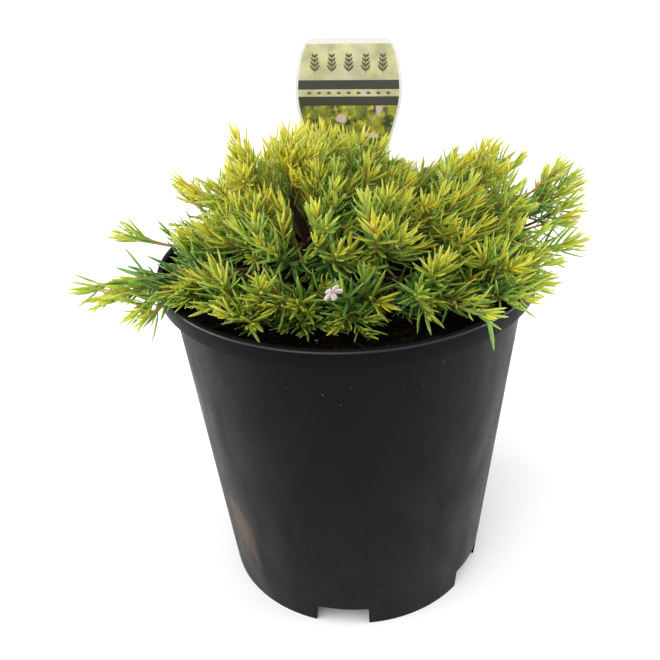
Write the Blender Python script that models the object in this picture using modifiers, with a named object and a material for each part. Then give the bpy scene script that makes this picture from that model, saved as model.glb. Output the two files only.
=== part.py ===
"""Potted golden-leaved diosma: a black nursery pot, its potting mix, a blank plant tag, a short main stem,
the boughs that leave it and one mass of leafy shoots on each bough. Metres, +Z up, the pot on z = 0."""

import math
import random
from typing import NamedTuple

import bmesh
import bpy
from mathutils import Matrix, Quaternion, Vector

# Pot: a 140 mm nursery pot, moulded in one piece
POT_HEIGHT = 0.135
RIM_RADIUS = 0.070
RIM_BAND = 0.0062
RIM_LIP = 0.0022
RIM_DRAFT = 0.0003
WALL_TOP_RADIUS = 0.0655
FOOT_RADIUS = 0.0532
WALL = 0.0012
BASE_LIFT = 0.0050
BASE_PLATE = 0.0015
POT_STEPS = 56

# Drainage notches: two opposite pairs cut through the foot
NOTCH_WIDTH = 0.0210
NOTCH_HEIGHT = 0.0085
NOTCH_REACH = 0.0090
NOTCH_PAIR_AXIS = math.radians(-63.5)
NOTCH_HALF_SPREAD = math.radians(33.5)

# Potting mix
SOIL_TOP = 0.117
SOIL_CROWN = 0.0020
SOIL_CROWN_RADIUS = 0.020
GAP = 0.0003

# Tag: (half width, distance down from the top edge) along one side
TAG_SIDE = ((0.0140, 0.0), (0.0212, 0.0150), (0.0164, 0.0440), (0.0075, 0.0740), (0.0060, 0.1000))
TAG_LENGTH = 0.138
TAG_THICKNESS = 0.0007
TAG_TOP = Vector((0.0040, 0.0600, 0.2022))
TAG_LEAN_BACK = math.radians(7.0)
TAG_LEAN_RIGHT = math.radians(2.0)
TAG_CORNER_HANDLE = 0.0052
TAG_SLOT_PLAY = 0.0006
TAG_SLOT_WIDTH = 0.0172
TAG_ROOM = 0.0018

# Main stem: (radius, height above its foot), upright at its flared foot and leaning more as it rises
STEM_FOOT = Vector((-0.0085, 0.0010, SOIL_TOP + SOIL_CROWN + GAP))
STEM_TAPER = (
    (0.0052, 0.0), (0.0040, 0.0020), (0.0032, 0.0055), (0.0029, 0.0120), (0.0023, 0.0220), (0.0015, 0.0330),
)
STEM_UPRIGHT = 0.0020
STEM_TOP = 0.0330
STEM_LEAN = Vector((-0.0092, -0.0010, 0))
STEM_BEND = 1.35

# Limbs: the share of each line that is bare bough, and how the line leaves the main stem and comes to its tip
LEAST_CLIMB = 0.30
EXTRA_CLIMB = 0.20
FIRST_HANDLE = 0.36
LAST_HANDLE = 0.32
LAST_LEAF_SHARE = 0.85
SEAT_STEP = 0.00005
BOUGH_ROOT = 0.0012
BOUGH_TIP = 0.0009
BOUGH_SHARE = 0.30
BOUGH_RINGS = 5

# Side shoots of a mass: how many, where they leave its stem (shares of it), how long and at what angle
TWIG_RADIUS = 0.0007
STEM_PIECES = 4
TWIG_SPACING = 0.0072
TWIG_COUNTS = (5, 7)
FIRST_TWIG = 0.06
TWIGGY_SHARE = 0.74
TWIG_LENGTH = 0.028
TWIG_SHORTEST = 0.008
TWIG_REACH_SHARE = 0.75
TWIG_ANGLE = math.radians(46)
TWIG_LIFT = 0.12
TWIG_LIFT_WHERE_STEEP = 0.30

# Leaves: a blade 1 wide, 1 thick and 1 long is laid along each shoot, from its tip down
LEAF_LENGTH = 0.0165
LEAF_WIDTH = 0.0038
LEAF_THICKNESS = 0.0012
LEAF_WIDEST = 0.38
LEAF_CORNERS = ((0, 0, 0.15), (-0.25, 0.433, LEAF_WIDEST), (0, 0, 1), (-0.25, -0.433, LEAF_WIDEST))
LEAF_ANGLE = math.radians(38)
LEAF_LIFT = 0.06
TIP_LEAF_ANGLE_SHARE = 0.3
FIRST_LEAF = 0.96
TWIG_LEAFY_SHARE = 0.75
STEM_LEAFY_SHARE = 0.88
TWIG_LEAVES = 3
STEM_LEAF_SPACING = 0.0085

# The seeded rule: turns by the golden angle, and shorter tries where a shoot would leave its mass's own space
GOLDEN_ANGLE = math.radians(137.5)
TRIES = 14
SHORTER_EACH_TRY = 0.04
SPACE_MARGIN = 0.0009
LIMB_MARGIN = 0.0006
POT_MARGIN = 0.0012
TIP_ROOM = 0.002
HEADROOM = 0.007
MOUND_SLOPE = 0.5
SKIRT_RISE = 0.012
SAMPLE_STEP = 0.0024

UP = Vector((0, 0, 1))


class Limb(NamedTuple):
    """One limb: where its furthest leaf ends, the rise of that end, and how high it leaves the main stem."""

    name: str
    azimuth: float
    reach: float
    height: float
    rise: float
    root: float
    has_bough: bool


# Azimuth from the right-hand side, reach and height in millimetres, rise of the tip in degrees
LOW_LIMBS = (
    (-164, 98, 137, -5), (-153, 85, 131, -25), (-135, 70, 139, 8), (-108, 57, 142, 20),
    (-76, 55, 142, 20), (-49, 67, 139, 8), (-27, 79, 139, 5), (-10, 86, 146, 20), (4, 89, 153, 28),
    (28, 84, 151, 33), (57, 80, 149, 33), (121, 80, 149, 33), (146, 86, 149, 28), (171, 91, 142, 12),
)
MIDDLE_LIMBS = (
    (174, 62, 161, 12), (-150, 52, 157, 40), (-122, 47, 159, 45), (-92, 46, 160, 45),
    (-60, 47, 161, 45), (-27, 56, 160, 45), (2, 86, 162, 40), (16, 58, 171, 70),
    (42, 48, 164, 50), (75, 41, 163, 55), (128, 52, 164, 55),
)
TOP_LIMBS = (
    (168, 40, 182, 70), (178, 22, 182, 78), (66, 22, 180, 70), (-18, 25, 172, 65), (-93, 24, 170, 60),
)
LOW_ROOTS = (0.0035, 0.0107, 0.0071)
MIDDLE_ROOTS = (0.0145, 0.0215, 0.0165, 0.0190)
TOP_ROOTS = (0.0285, 0.0330, 0.0250, 0.0265, 0.0240)
SHORTEST_WITH_BOUGH = 0.056


def limbs():
    """Every limb, numbered round the pot in its tier, with neighbours rooted at different heights."""
    found = []
    tiers = (
        ("low", LOW_LIMBS, LOW_ROOTS),
        ("middle", MIDDLE_LIMBS, MIDDLE_ROOTS),
        ("top", TOP_LIMBS, TOP_ROOTS),
    )
    for tier, rows, roots in tiers:
        for number, (azimuth, reach, height, rise) in enumerate(rows):
            found.append(Limb(
                name=f"{tier}_{number + 1:02d}",
                azimuth=math.radians(azimuth),
                reach=reach / 1000,
                height=height / 1000,
                rise=math.radians(rise),
                root=roots[number % len(roots)],
                has_bough=reach / 1000 >= SHORTEST_WITH_BOUGH,
            ))
    return found


def material(name, colour, roughness, metallic=0.0):
    made = bpy.data.materials.new(name)
    made.use_nodes = True
    shader = made.node_tree.nodes["Principled BSDF"]
    shader.inputs["Base Color"].default_value = (*colour, 1.0)
    shader.inputs["Roughness"].default_value = roughness
    shader.inputs["Metallic"].default_value = metallic
    return made


def place(name, mesh, collection, finish=None, matrix=None):
    """A new object for a mesh or a curve, in a collection, with its material."""
    made = bpy.data.objects.new(name, mesh)
    collection.objects.link(made)
    if matrix is not None:
        made.matrix_world = matrix
    if finish is not None:
        mesh.materials.append(finish)
    return made


def primitive(name, maker, lift=0.0, widest=None, **sizes):
    """A mesh by one of bmesh's makers, lifted in Z, with its middle ring moved if widest is given."""
    shape = bmesh.new()
    maker(shape, **sizes)
    for vertex in shape.verts:
        if widest is not None and abs(vertex.co.z) < 0.1:
            vertex.co.z = widest - lift
        vertex.co.z += lift
    mesh = bpy.data.meshes.new(name)
    shape.to_mesh(mesh)
    shape.free()
    return mesh


def turned(name, profile, collection, finish):
    """A turned solid: a profile of (radius, height) pairs, from the axis over the top and down."""
    mesh = bpy.data.meshes.new(name)
    edges = [(i, i + 1) for i in range(len(profile) - 1)]
    mesh.from_pydata([(radius, 0, height) for radius, height in profile], edges, [])
    made = place(name, mesh, collection, finish)
    screw = made.modifiers.new("turn", "SCREW")
    screw.steps = screw.render_steps = POT_STEPS
    screw.use_merge_vertices = True
    screw.merge_threshold = 0.00001
    return made


def boolean(target, operation, cutters):
    cut = target.modifiers.new(operation.lower(), "BOOLEAN")
    cut.operation = operation
    cut.operand_type = "COLLECTION"
    cut.collection = cutters


def helper_collection(name):
    made = bpy.data.collections.new(name)
    bpy.context.scene.collection.children.link(made)
    made.hide_render = True
    return made


def cutter(name, mesh, collection, matrix):
    made = place(name, mesh, collection, matrix=matrix)
    made.hide_render = True
    made.display_type = "WIRE"
    return made


def wall_radius(height):
    """The wall's outer radius at a height, on its straight taper from the foot to the rim band."""
    share = height / (POT_HEIGHT - RIM_BAND)
    return FOOT_RADIUS + (WALL_TOP_RADIUS - FOOT_RADIUS) * share


def build_pot(collection, finish):
    band_foot = POT_HEIGHT - RIM_BAND
    plate_top = BASE_LIFT + BASE_PLATE
    profile = (
        (0, plate_top),
        (wall_radius(plate_top) - WALL, plate_top),
        (WALL_TOP_RADIUS - WALL, band_foot),
        (RIM_RADIUS - RIM_LIP, band_foot + WALL),
        (RIM_RADIUS - RIM_LIP, POT_HEIGHT),
        (RIM_RADIUS, POT_HEIGHT),
        (RIM_RADIUS - RIM_DRAFT, band_foot),
        (WALL_TOP_RADIUS, band_foot),
        (FOOT_RADIUS, 0),
        (FOOT_RADIUS - 2 * WALL, 0),
        (wall_radius(BASE_LIFT) - 2 * WALL, BASE_LIFT),
        (0, BASE_LIFT),
    )
    pot = turned("pot", profile, collection, finish)
    notches = helper_collection("notch_cutters")
    for side in (0, math.pi):
        for half in (-NOTCH_HALF_SPREAD, NOTCH_HALF_SPREAD):
            mesh = primitive("block", bmesh.ops.create_cube, size=1)
            turn = Matrix.Rotation(NOTCH_PAIR_AXIS + side + half, 4, "Z")
            move = Matrix.Translation((FOOT_RADIUS, 0, 0))
            grow = Matrix.Diagonal((2 * NOTCH_REACH, NOTCH_WIDTH, 2 * NOTCH_HEIGHT, 1))
            cutter("notch", mesh, notches, turn @ move @ grow)
    boolean(pot, "DIFFERENCE", notches)


def tag_matrix():
    """The tag's own frame: origin at the middle of its top edge, X across, Y up it, Z out of its face."""
    facing = Matrix.Rotation(math.pi / 2, 4, "X")
    lean = Matrix.Rotation(-TAG_LEAN_BACK, 4, "X") @ Matrix.Rotation(TAG_LEAN_RIGHT, 4, "Y")
    return Matrix.Translation(TAG_TOP) @ lean @ facing


def build_potting_mix(collection, finish):
    foot = BASE_LIFT + BASE_PLATE + GAP
    side_gap = WALL + 1.5 * GAP
    profile = (
        (0, SOIL_TOP + SOIL_CROWN),
        (SOIL_CROWN_RADIUS, SOIL_TOP + SOIL_CROWN),
        (wall_radius(SOIL_TOP) - side_gap, SOIL_TOP),
        (wall_radius(foot) - side_gap, foot),
        (0, foot),
    )
    mix = turned("potting_mix", profile, collection, finish)
    slots = helper_collection("tag_slot_cutter")
    mesh = primitive("block", bmesh.ops.create_cube, size=1)
    middle = Matrix.Translation((0, -TAG_LENGTH / 2 - TAG_SLOT_PLAY, 0))
    slot = Matrix.Diagonal((TAG_SLOT_WIDTH, TAG_LENGTH, TAG_THICKNESS + 2 * TAG_SLOT_PLAY, 1))
    cutter("tag_slot", mesh, slots, tag_matrix() @ middle @ slot)
    boolean(mix, "DIFFERENCE", slots)


def build_tag(collection, finish):
    """The tag is a flat outline through a few points on each side, to a point at the foot of its stake."""
    outline = bpy.data.curves.new("plant_tag", "CURVE")
    outline.dimensions = "2D"
    outline.fill_mode = "BOTH"
    outline.extrude = TAG_THICKNESS / 2
    outline.resolution_u = 3
    right = [(half, -down) for half, down in TAG_SIDE]
    left = [(-x, y) for x, y in reversed(right)]
    points = [*right, (0, -TAG_LENGTH), *left]
    spline = outline.splines.new("BEZIER")
    spline.bezier_points.add(len(points) - 1)
    spline.use_cyclic_u = True
    for point, (x, y) in zip(spline.bezier_points, points):
        point.co = (x, y, 0)
        round_here = 0 > y > -TAG_LENGTH
        point.handle_left_type = point.handle_right_type = "AUTO" if round_here else "VECTOR"
    for corner, handle in ((spline.bezier_points[0], "right"), (spline.bezier_points[-1], "left")):
        side = math.copysign(1, corner.co.x)
        setattr(corner, f"handle_{handle}_type", "FREE")
        setattr(corner, f"handle_{handle}", corner.co + Vector((side * TAG_CORNER_HANDLE, 0, 0)))
    place("plant_tag", outline, collection, finish, tag_matrix())


def limb_curve(name, points, radii, roundness):
    """A tapering limb: a curve through the points with a bevel, a radius at each point, and filled ends."""
    curve = bpy.data.curves.new(name, "CURVE")
    curve.dimensions = "3D"
    curve.bevel_depth = 1.0
    curve.bevel_resolution = roundness
    curve.use_fill_caps = True
    spline = curve.splines.new("POLY")
    spline.points.add(len(points) - 1)
    for control, point, radius in zip(spline.points, points, radii):
        control.co = (*point, 1.0)
        control.radius = radius
    return curve


def as_mesh(curve):
    """The closed mesh of a curve, its end caps welded on, so that a union can take it."""
    shown = bpy.data.objects.new(curve.name, curve)
    bpy.context.scene.collection.objects.link(shown)
    bpy.context.view_layer.update()
    mesh = bpy.data.meshes.new_from_object(shown.evaluated_get(bpy.context.evaluated_depsgraph_get()))
    bpy.data.objects.remove(shown)
    shape = bmesh.new()
    shape.from_mesh(mesh)
    bmesh.ops.remove_doubles(shape, verts=shape.verts, dist=0.000001)
    shape.to_mesh(mesh)
    shape.free()
    return mesh


def tapering(first, last, count):
    return [first + (last - first) * i / (count - 1) for i in range(count)]


def stem_axis(height):
    """The middle of the main stem at a height above its foot."""
    share = max(0, height - STEM_UPRIGHT) / (STEM_TOP - STEM_UPRIGHT)
    return STEM_FOOT + STEM_LEAN * share**STEM_BEND + UP * height


def stem_radius(height):
    """The main stem's radius at a height above its foot."""
    for (r0, h0), (r1, h1) in zip(STEM_TAPER, STEM_TAPER[1:]):
        if height <= h1:
            return r0 + (r1 - r0) * (height - h0) / (h1 - h0)
    return STEM_TAPER[-1][0]


def stem_line():
    return [stem_axis(height) for _, height in STEM_TAPER]


def outside_stem(point, trunk):
    """How far a point is outside the main stem's skin."""
    return distance_to_line(point, trunk) - stem_radius(max(0, point.z - STEM_FOOT.z))


def build_main_stem(collection, finish):
    curve = limb_curve("main_stem", stem_line(), [radius for radius, _ in STEM_TAPER], 3)
    place("main_stem", curve, collection, finish)


def seat(foot, outward, leaving, radius):
    """The first place on the way out from the main stem's middle where a limb's round end clears its skin."""
    trunk = stem_line()
    side = leaving.cross(UP).normalized() * radius
    end = [Quaternion(leaving, math.tau * i / 12) @ side for i in range(12)]
    start = foot
    while min(outside_stem(start + corner, trunk) for corner in end) < GAP:
        start = start + outward * SEAT_STEP
    return start


def bezier(control, share):
    """A point on a cubic Bezier line."""
    rest = 1 - share
    weights = (rest**3, 3 * rest**2 * share, 3 * rest * share**2, share**3)
    return sum((point * weight for point, weight in zip(control, weights)), Vector((0, 0, 0)))


def tilted(outward, slope):
    """A unit direction that climbs at a slope as it goes outward."""
    return (outward + UP * slope).normalized()


def limb_line(limb):
    """The control points of a limb's centre line, from beside the main stem to where its last leaf begins."""
    leaf_tip = Vector((math.cos(limb.azimuth), math.sin(limb.azimuth), 0)) * limb.reach + UP * limb.height
    foot = stem_axis(limb.root)
    outward = (leaf_tip - foot) * Vector((1, 1, 0))
    distance = outward.length
    outward.normalize()
    ending = tilted(outward, math.tan(limb.rise))
    tip = leaf_tip - ending * LEAF_LENGTH * LAST_LEAF_SHARE
    if limb.root >= STEM_TOP:
        leaving = (STEM_LEAN * STEM_BEND / STEM_TOP + UP).normalized()
        start = foot + leaving * 1.5 * GAP
    else:
        leaving = tilted(outward, max(LEAST_CLIMB, (tip.z - foot.z) / distance + EXTRA_CLIMB))
        start = seat(foot, outward, leaving, BOUGH_ROOT if limb.has_bough else BOUGH_TIP)
    length = (tip - start).length
    return [start, start + leaving * length * FIRST_HANDLE, tip - ending * length * LAST_HANDLE, tip]


def spread(line, start, end, count):
    """Points evenly spread along a Bezier line between two shares of it."""
    return [bezier(line, start + (end - start) * i / (count - 1)) for i in range(count)]


def line_length(points):
    return sum((b - a).length for a, b in zip(points, points[1:]))


def split_limb(limb):
    """The centre lines of a limb's bough, if it has one, and of the leafy stem that carries on from it."""
    line = limb_line(limb)
    if not limb.has_bough:
        return [], spread(line, 0, 1, STEM_PIECES + 1)
    length = line_length(spread(line, 0, 1, 25))
    gap = 1.4 * GAP / length
    return spread(line, 0, BOUGH_SHARE, BOUGH_RINGS), spread(line, BOUGH_SHARE + gap, 1, STEM_PIECES + 1)


def build_bough(name, points, collection, finish):
    curve = limb_curve(name, points, tapering(BOUGH_ROOT, BOUGH_TIP, len(points)), 1)
    place(name, curve, collection, finish)


def distance_to_line(point, points):
    """The shortest distance from a point to a line of points."""
    best = math.inf
    for a, b in zip(points, points[1:]):
        along = b - a
        share = max(0.0, min(1.0, (point - a).dot(along) / along.length_squared))
        best = min(best, (point - a - along * share).length)
    return best


def clear_of_pot(point, margin):
    """Whether a point is outside the pot's wall and rim, or inside them and above the crown's skirt."""
    radius = math.hypot(point.x, point.y)
    if point.z > POT_HEIGHT + margin:
        return True
    in_band = point.z > POT_HEIGHT - RIM_BAND - margin
    outer = RIM_RADIUS if in_band else wall_radius(point.z)
    inner = WALL_TOP_RADIUS - WALL if in_band else outer - WALL
    if radius > outer + margin:
        return True
    skirt = SOIL_TOP + SOIL_CROWN + SKIRT_RISE * radius / RIM_RADIUS
    return radius < inner - margin and point.z > skirt + margin


def clear_of_tag(point, into_tag):
    """Whether a point is away from the tag's two faces and its edges."""
    local = into_tag @ point
    beyond = abs(local.x) > TAG_SIDE[1][0] + TAG_ROOM or not -TAG_LENGTH < local.y < TAG_ROOM
    return beyond or abs(local.z) > TAG_ROOM


class Space:
    """The room that one mass keeps to: nearer to its stem than to any other's, within its limb's own
    reach, under the mound, and clear of every bough, the main stem, the pot, the mix and the tag."""

    def __init__(self, limb, own, others, boughs):
        self.limb = limb
        self.own = own
        self.others = others
        self.boughs = boughs
        self.trunk = stem_line()
        self.into_tag = tag_matrix().inverted()

    def has(self, point):
        radius = math.hypot(point.x, point.y)
        mound = MOUND_SLOPE * max(0, RIM_RADIUS - radius)
        if radius > self.limb.reach + TIP_ROOM or point.z > self.limb.height + HEADROOM + mound:
            return False
        if not clear_of_pot(point, POT_MARGIN) or not clear_of_tag(point, self.into_tag):
            return False
        if outside_stem(point, self.trunk) < LIMB_MARGIN:
            return False
        if any(distance_to_line(point, bough) < LIMB_MARGIN + BOUGH_ROOT for bough in self.boughs):
            return False
        limit = distance_to_line(point, self.own) + SPACE_MARGIN
        return not any(distance_to_line(point, line) < limit for line in self.others)

    def holds(self, *corners):
        """Whether the straight lines through some corner points stay in this space."""
        for start, end in zip(corners, corners[1:]):
            count = max(2, math.ceil((end - start).length / SAMPLE_STEP) + 1)
            if not all(self.has(start.lerp(end, i / (count - 1))) for i in range(count)):
                return False
        return True


def side_direction(axis, turn, angle, lift):
    """A direction that leaves an axis at an angle, turned round it, and lifted a little towards the light."""
    side = axis.orthogonal().normalized()
    side.rotate(Quaternion(axis, turn))
    return (axis * math.cos(angle) + side * math.sin(angle) + UP * lift).normalized()


def along(points, share):
    """The place and the direction at a share of a line of points."""
    piece = min(int(share * (len(points) - 1)), len(points) - 2)
    a, b = points[piece], points[piece + 1]
    return a.lerp(b, share * (len(points) - 1) - piece), (b - a).normalized()


def grow_twigs(name, stem, space):
    """The side shoots of one mass by the seeded rule: (start, end) of each that its space holds."""
    rng = random.Random(f"{name} twigs")
    phase = rng.uniform(0, math.tau)
    length = line_length(stem)
    count = min(max(TWIG_COUNTS[0], round(length / TWIG_SPACING)), TWIG_COUNTS[1])
    found = []
    for i in range(count):
        share = FIRST_TWIG + TWIGGY_SHARE * (i + 0.5) / count
        start, axis = along(stem, share)
        room = TWIG_SHORTEST + TWIG_REACH_SHARE * length * (1 - share)
        longest = min(TWIG_LENGTH, room) * rng.uniform(0.9, 1.1)
        lift = TWIG_LIFT + TWIG_LIFT_WHERE_STEEP * max(0, axis.z)
        for attempt in range(TRIES):
            turn = phase + GOLDEN_ANGLE * (i + 3 * attempt)
            direction = side_direction(axis, turn, TWIG_ANGLE, lift)
            end = start + direction * longest * (1 - SHORTER_EACH_TRY * attempt)
            if space.holds(start + direction * 3 * TWIG_RADIUS, end):
                found.append((start, end))
                break
    return found


def laid(root, direction, spin, width, thickness, length):
    """The matrix that lays a shape 1 wide, 1 thick and 1 long with its root at a point, along a direction."""
    turn = UP.rotation_difference(direction) @ Quaternion(UP, spin)
    size = Matrix.Diagonal((thickness, width, length, 1))
    return Matrix.Translation(root) @ turn.to_matrix().to_4x4() @ size


def grow_leaves(name, shoots, space):
    """Leaves along every shoot by the seeded rule: the matrix of each that the space holds."""
    rng = random.Random(f"{name} leaves")
    found = []
    for points, count, leafy_share in shoots:
        phase = rng.uniform(0, math.tau)
        for i in range(count):
            root, axis = along(points, FIRST_LEAF - leafy_share * i / count)
            angle = LEAF_ANGLE * (TIP_LEAF_ANGLE_SHARE if i == 0 else rng.uniform(0.85, 1.15))
            length = LEAF_LENGTH * rng.uniform(0.9, 1.1)
            for attempt in range(TRIES):
                turn = phase + GOLDEN_ANGLE * (i + 2 * attempt)
                direction = side_direction(axis, turn, angle, LEAF_LIFT)
                matrix = laid(root, direction, turn, LEAF_WIDTH, LEAF_THICKNESS, length)
                neck, left, tip, right = (matrix @ Vector(corner) for corner in LEAF_CORNERS)
                if space.holds(neck, left, tip, right, neck):
                    found.append(matrix)
                    break
    return found


def join(name, parts, collection, finish):
    """One solid from a collection of overlapping pieces: one union, applied, and the pieces removed."""
    seed = parts.objects[0]
    parts.objects.unlink(seed)
    collection.objects.link(seed)
    boolean(seed, "UNION", parts)
    bpy.context.view_layer.update()
    shown = seed.evaluated_get(bpy.context.evaluated_depsgraph_get())
    joined = bpy.data.meshes.new_from_object(shown)
    joined.name = name
    joined.transform(seed.matrix_world)
    joined.materials.clear()
    for piece in [seed, *parts.objects]:
        bpy.data.objects.remove(piece)
    bpy.data.collections.remove(parts)
    return place(name, joined, collection, finish)


def build_mass(name, stem, space, collection, finish):
    """One mass: a stem, its side shoots and their leaves, joined into one closed solid."""
    parts = helper_collection(f"{name}_parts")
    curve = limb_curve("stem", stem, tapering(BOUGH_TIP, TWIG_RADIUS, len(stem)), 0)
    place("stem", as_mesh(curve), parts)
    ends = {"cap_ends": True, "radius1": 1, "radius2": 0.5, "depth": 1}
    cone = primitive("cone", bmesh.ops.create_cone, 0.5, segments=3, **ends)
    twigs = grow_twigs(name, stem, space)
    for a, b in twigs:
        matrix = laid(a, (b - a).normalized(), 0, TWIG_RADIUS, TWIG_RADIUS, (b - a).length)
        place("twig", cone, parts, matrix=matrix)
    stem_leaves = 2 + round(line_length(stem) / STEM_LEAF_SPACING)
    shoots = [(twig, TWIG_LEAVES, TWIG_LEAFY_SHARE) for twig in twigs]
    shoots.append((stem, stem_leaves, STEM_LEAFY_SHARE))
    rounds = {"u_segments": 3, "v_segments": 2, "radius": 0.5}
    blade = primitive("blade", bmesh.ops.create_uvsphere, 0.5, LEAF_WIDEST, **rounds)
    for matrix in grow_leaves(name, shoots, space):
        place("leaf", blade, parts, matrix=matrix)
    join(name, parts, collection, finish)


def centre_on_box(collection):
    """Moves everything so that the origin is below the middle of the whole object's box."""
    bpy.context.view_layer.update()
    graph = bpy.context.evaluated_depsgraph_get()
    corners = []
    for piece in collection.objects:
        shown = piece.evaluated_get(graph)
        mesh = shown.to_mesh()
        corners += [shown.matrix_world @ vertex.co for vertex in mesh.vertices]
        shown.to_mesh_clear()
    middle = [(min(c[i] for c in corners) + max(c[i] for c in corners)) / 2 for i in range(2)]
    shift = Matrix.Translation((-middle[0], -middle[1], 0))
    for piece in bpy.context.scene.objects:
        piece.matrix_world = shift @ piece.matrix_world


def main():
    for old in list(bpy.data.objects):
        bpy.data.objects.remove(old)
    diosma = bpy.data.collections.new("potted_diosma")
    bpy.context.scene.collection.children.link(diosma)

    plastic = material("black_plastic", (0.018, 0.018, 0.021), 0.42)
    mix = material("potting_mix", (0.020, 0.013, 0.009), 0.95)
    tag = material("tag_plastic", (0.72, 0.71, 0.60), 0.45)
    bark = material("bark", (0.115, 0.055, 0.030), 0.80)
    gold = material("golden_leaf", (0.55, 0.56, 0.035), 0.45)
    green = material("green_leaf", (0.20, 0.33, 0.04), 0.45)

    build_pot(diosma, plastic)
    build_potting_mix(diosma, mix)
    build_tag(diosma, tag)
    build_main_stem(diosma, bark)

    split = {limb: split_limb(limb) for limb in limbs()}
    boughs = [bough for bough, _ in split.values() if bough]
    for limb, (bough, stem) in split.items():
        if bough:
            build_bough(f"{limb.name}_bough", bough, diosma, bark)
        others = [other for key, (_, other) in split.items() if key != limb]
        space = Space(limb, stem, others, boughs)
        finish = green if limb.name.startswith("low") else gold
        build_mass(f"{limb.name}_foliage", stem, space, diosma, finish)
    centre_on_box(diosma)


main()
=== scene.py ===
# %% [markdown]
# # Dressing a potted golden diosma
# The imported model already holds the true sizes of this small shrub: a turned nursery pot, its potting
# mix, a plant tag, a short main stem, tapering boughs, and thirty masses of coarse leaves. This lesson
# gives each of them the surface or the fine growth of the real thing. Nothing that the solids fix is
# moved or resized, so the first step is to load them, and to keep the box that they fill.

import math
import random

import bmesh
import bpy
import numpy as np
from mathutils import Matrix, Quaternion, Vector, noise


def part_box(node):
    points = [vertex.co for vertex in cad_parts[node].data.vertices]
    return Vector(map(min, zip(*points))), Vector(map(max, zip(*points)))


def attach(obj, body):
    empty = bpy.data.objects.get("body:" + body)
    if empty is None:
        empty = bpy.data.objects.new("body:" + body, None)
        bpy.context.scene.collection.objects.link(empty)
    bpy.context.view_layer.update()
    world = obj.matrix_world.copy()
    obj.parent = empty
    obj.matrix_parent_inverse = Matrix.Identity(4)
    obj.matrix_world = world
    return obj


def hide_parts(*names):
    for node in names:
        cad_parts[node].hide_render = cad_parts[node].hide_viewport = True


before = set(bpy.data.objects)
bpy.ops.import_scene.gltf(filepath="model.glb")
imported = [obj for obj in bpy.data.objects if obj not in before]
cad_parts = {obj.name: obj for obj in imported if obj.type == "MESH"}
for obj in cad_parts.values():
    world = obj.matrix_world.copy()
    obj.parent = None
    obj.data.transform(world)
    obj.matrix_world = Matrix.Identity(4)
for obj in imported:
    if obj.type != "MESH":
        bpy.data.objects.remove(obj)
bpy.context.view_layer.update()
pot_low, pot_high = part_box("pot")
POT_AXIS = Vector(((pot_low.x + pot_high.x) / 2, (pot_low.y + pot_high.y) / 2, 0))
MASSES = sorted(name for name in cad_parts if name.endswith("_foliage"))
BOUGHS = sorted(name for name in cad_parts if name.endswith("_bough"))
print("masses", len(MASSES), "boughs", len(BOUGHS), "pot axis", tuple(round(v, 5) for v in POT_AXIS))

# %% [markdown]
# ## One place for every piece
# All the growth starts from the pot's axis, so each mesh is made round that axis and its object is then
# moved to it. A new piece rides on the model's one body and hides the solids that it stands for. A mesh
# could also be built with Blender's own add commands, but a list of points and faces needs no selection
# and gives the same mesh each time.

# %% Put a piece in the scene
def put(name, mesh, finishes, stands_for=()):
    """An object for a mesh made round the pot's axis, with its finishes, riding on the plant's one body."""
    piece = bpy.data.objects.new(name, mesh)
    bpy.context.scene.collection.objects.link(piece)
    piece.location = POT_AXIS
    for surface in finishes:
        mesh.materials.append(surface)
    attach(piece, "root")
    if stands_for:
        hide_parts(*stands_for)
    return piece


def mesh_of(name, points, faces, smooth=True):
    """A mesh from a list of points and faces."""
    mesh = bpy.data.meshes.new(name)
    mesh.from_pydata([tuple(point) for point in points], [], [tuple(face) for face in faces])
    mesh.polygons.foreach_set("use_smooth", [smooth] * len(mesh.polygons))
    mesh.update()
    return mesh


# %% [markdown]
# ## The camera
# The photograph was taken from above and in front with a normal lens. The pot's rim, foot and drainage
# notches are circles and slots of known proportions, so they fix the camera: where it stands, how far it
# tilts down from the level, how little it turns and rolls, and its lens.

# %% Stand the camera where the photograph was taken
CAMERA_PLACE = Vector((0, -0.2803, 0.2612))
CAMERA_TILT = math.radians(60.680)
CAMERA_TURN = math.radians(1.507)
CAMERA_ROLL = math.radians(-2.741)
CAMERA_LENS = 44.86
CAMERA_SENSOR = 36.0

camera = bpy.data.objects.new("camera", bpy.data.cameras.new("camera"))
bpy.context.scene.collection.objects.link(camera)
camera.data.sensor_width = CAMERA_SENSOR
camera.data.lens = CAMERA_LENS
camera.data.clip_start = 0.01
turn = Matrix.Rotation(CAMERA_TURN, 4, "Z")
tilt = Matrix.Rotation(CAMERA_TILT, 4, "X")
roll = Matrix.Rotation(CAMERA_ROLL, 4, "Z")
camera.matrix_world = Matrix.Translation(CAMERA_PLACE + POT_AXIS) @ turn @ tilt @ roll
bpy.context.scene.camera = camera
print("camera looks down", round(90 - math.degrees(CAMERA_TILT), 1), "degrees")

# %% [markdown]
# ## Finishes
# Every finish here is one shader with a little noise in it. Noise in the object's own coordinates can
# tint the colour, change the roughness and raise a fine relief, and it needs no picture. Colours are
# written as a screen shows them, 0 to 255, and turned into the linear values that the shader works in.

# %% Make a finish
def screen(red, green, blue):
    """A colour as a screen shows it, in the shader's linear values."""
    shares = (red / 255, green / 255, blue / 255)
    return tuple(s / 12.92 if s <= 0.04045 else ((s + 0.055) / 1.055) ** 2.4 for s in shares)


def finish(name, colour, roughness, **sockets):
    """A material with one shader; other sockets are given by name, with _ for a space."""
    made = bpy.data.materials.new(name)
    made.use_nodes = True
    shader = made.node_tree.nodes["Principled BSDF"]
    shader.inputs["Base Color"].default_value = (*colour, 1)
    shader.inputs["Roughness"].default_value = roughness
    for socket, value in sockets.items():
        shader.inputs[socket.replace("_", " ")].default_value = value
    return made


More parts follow.
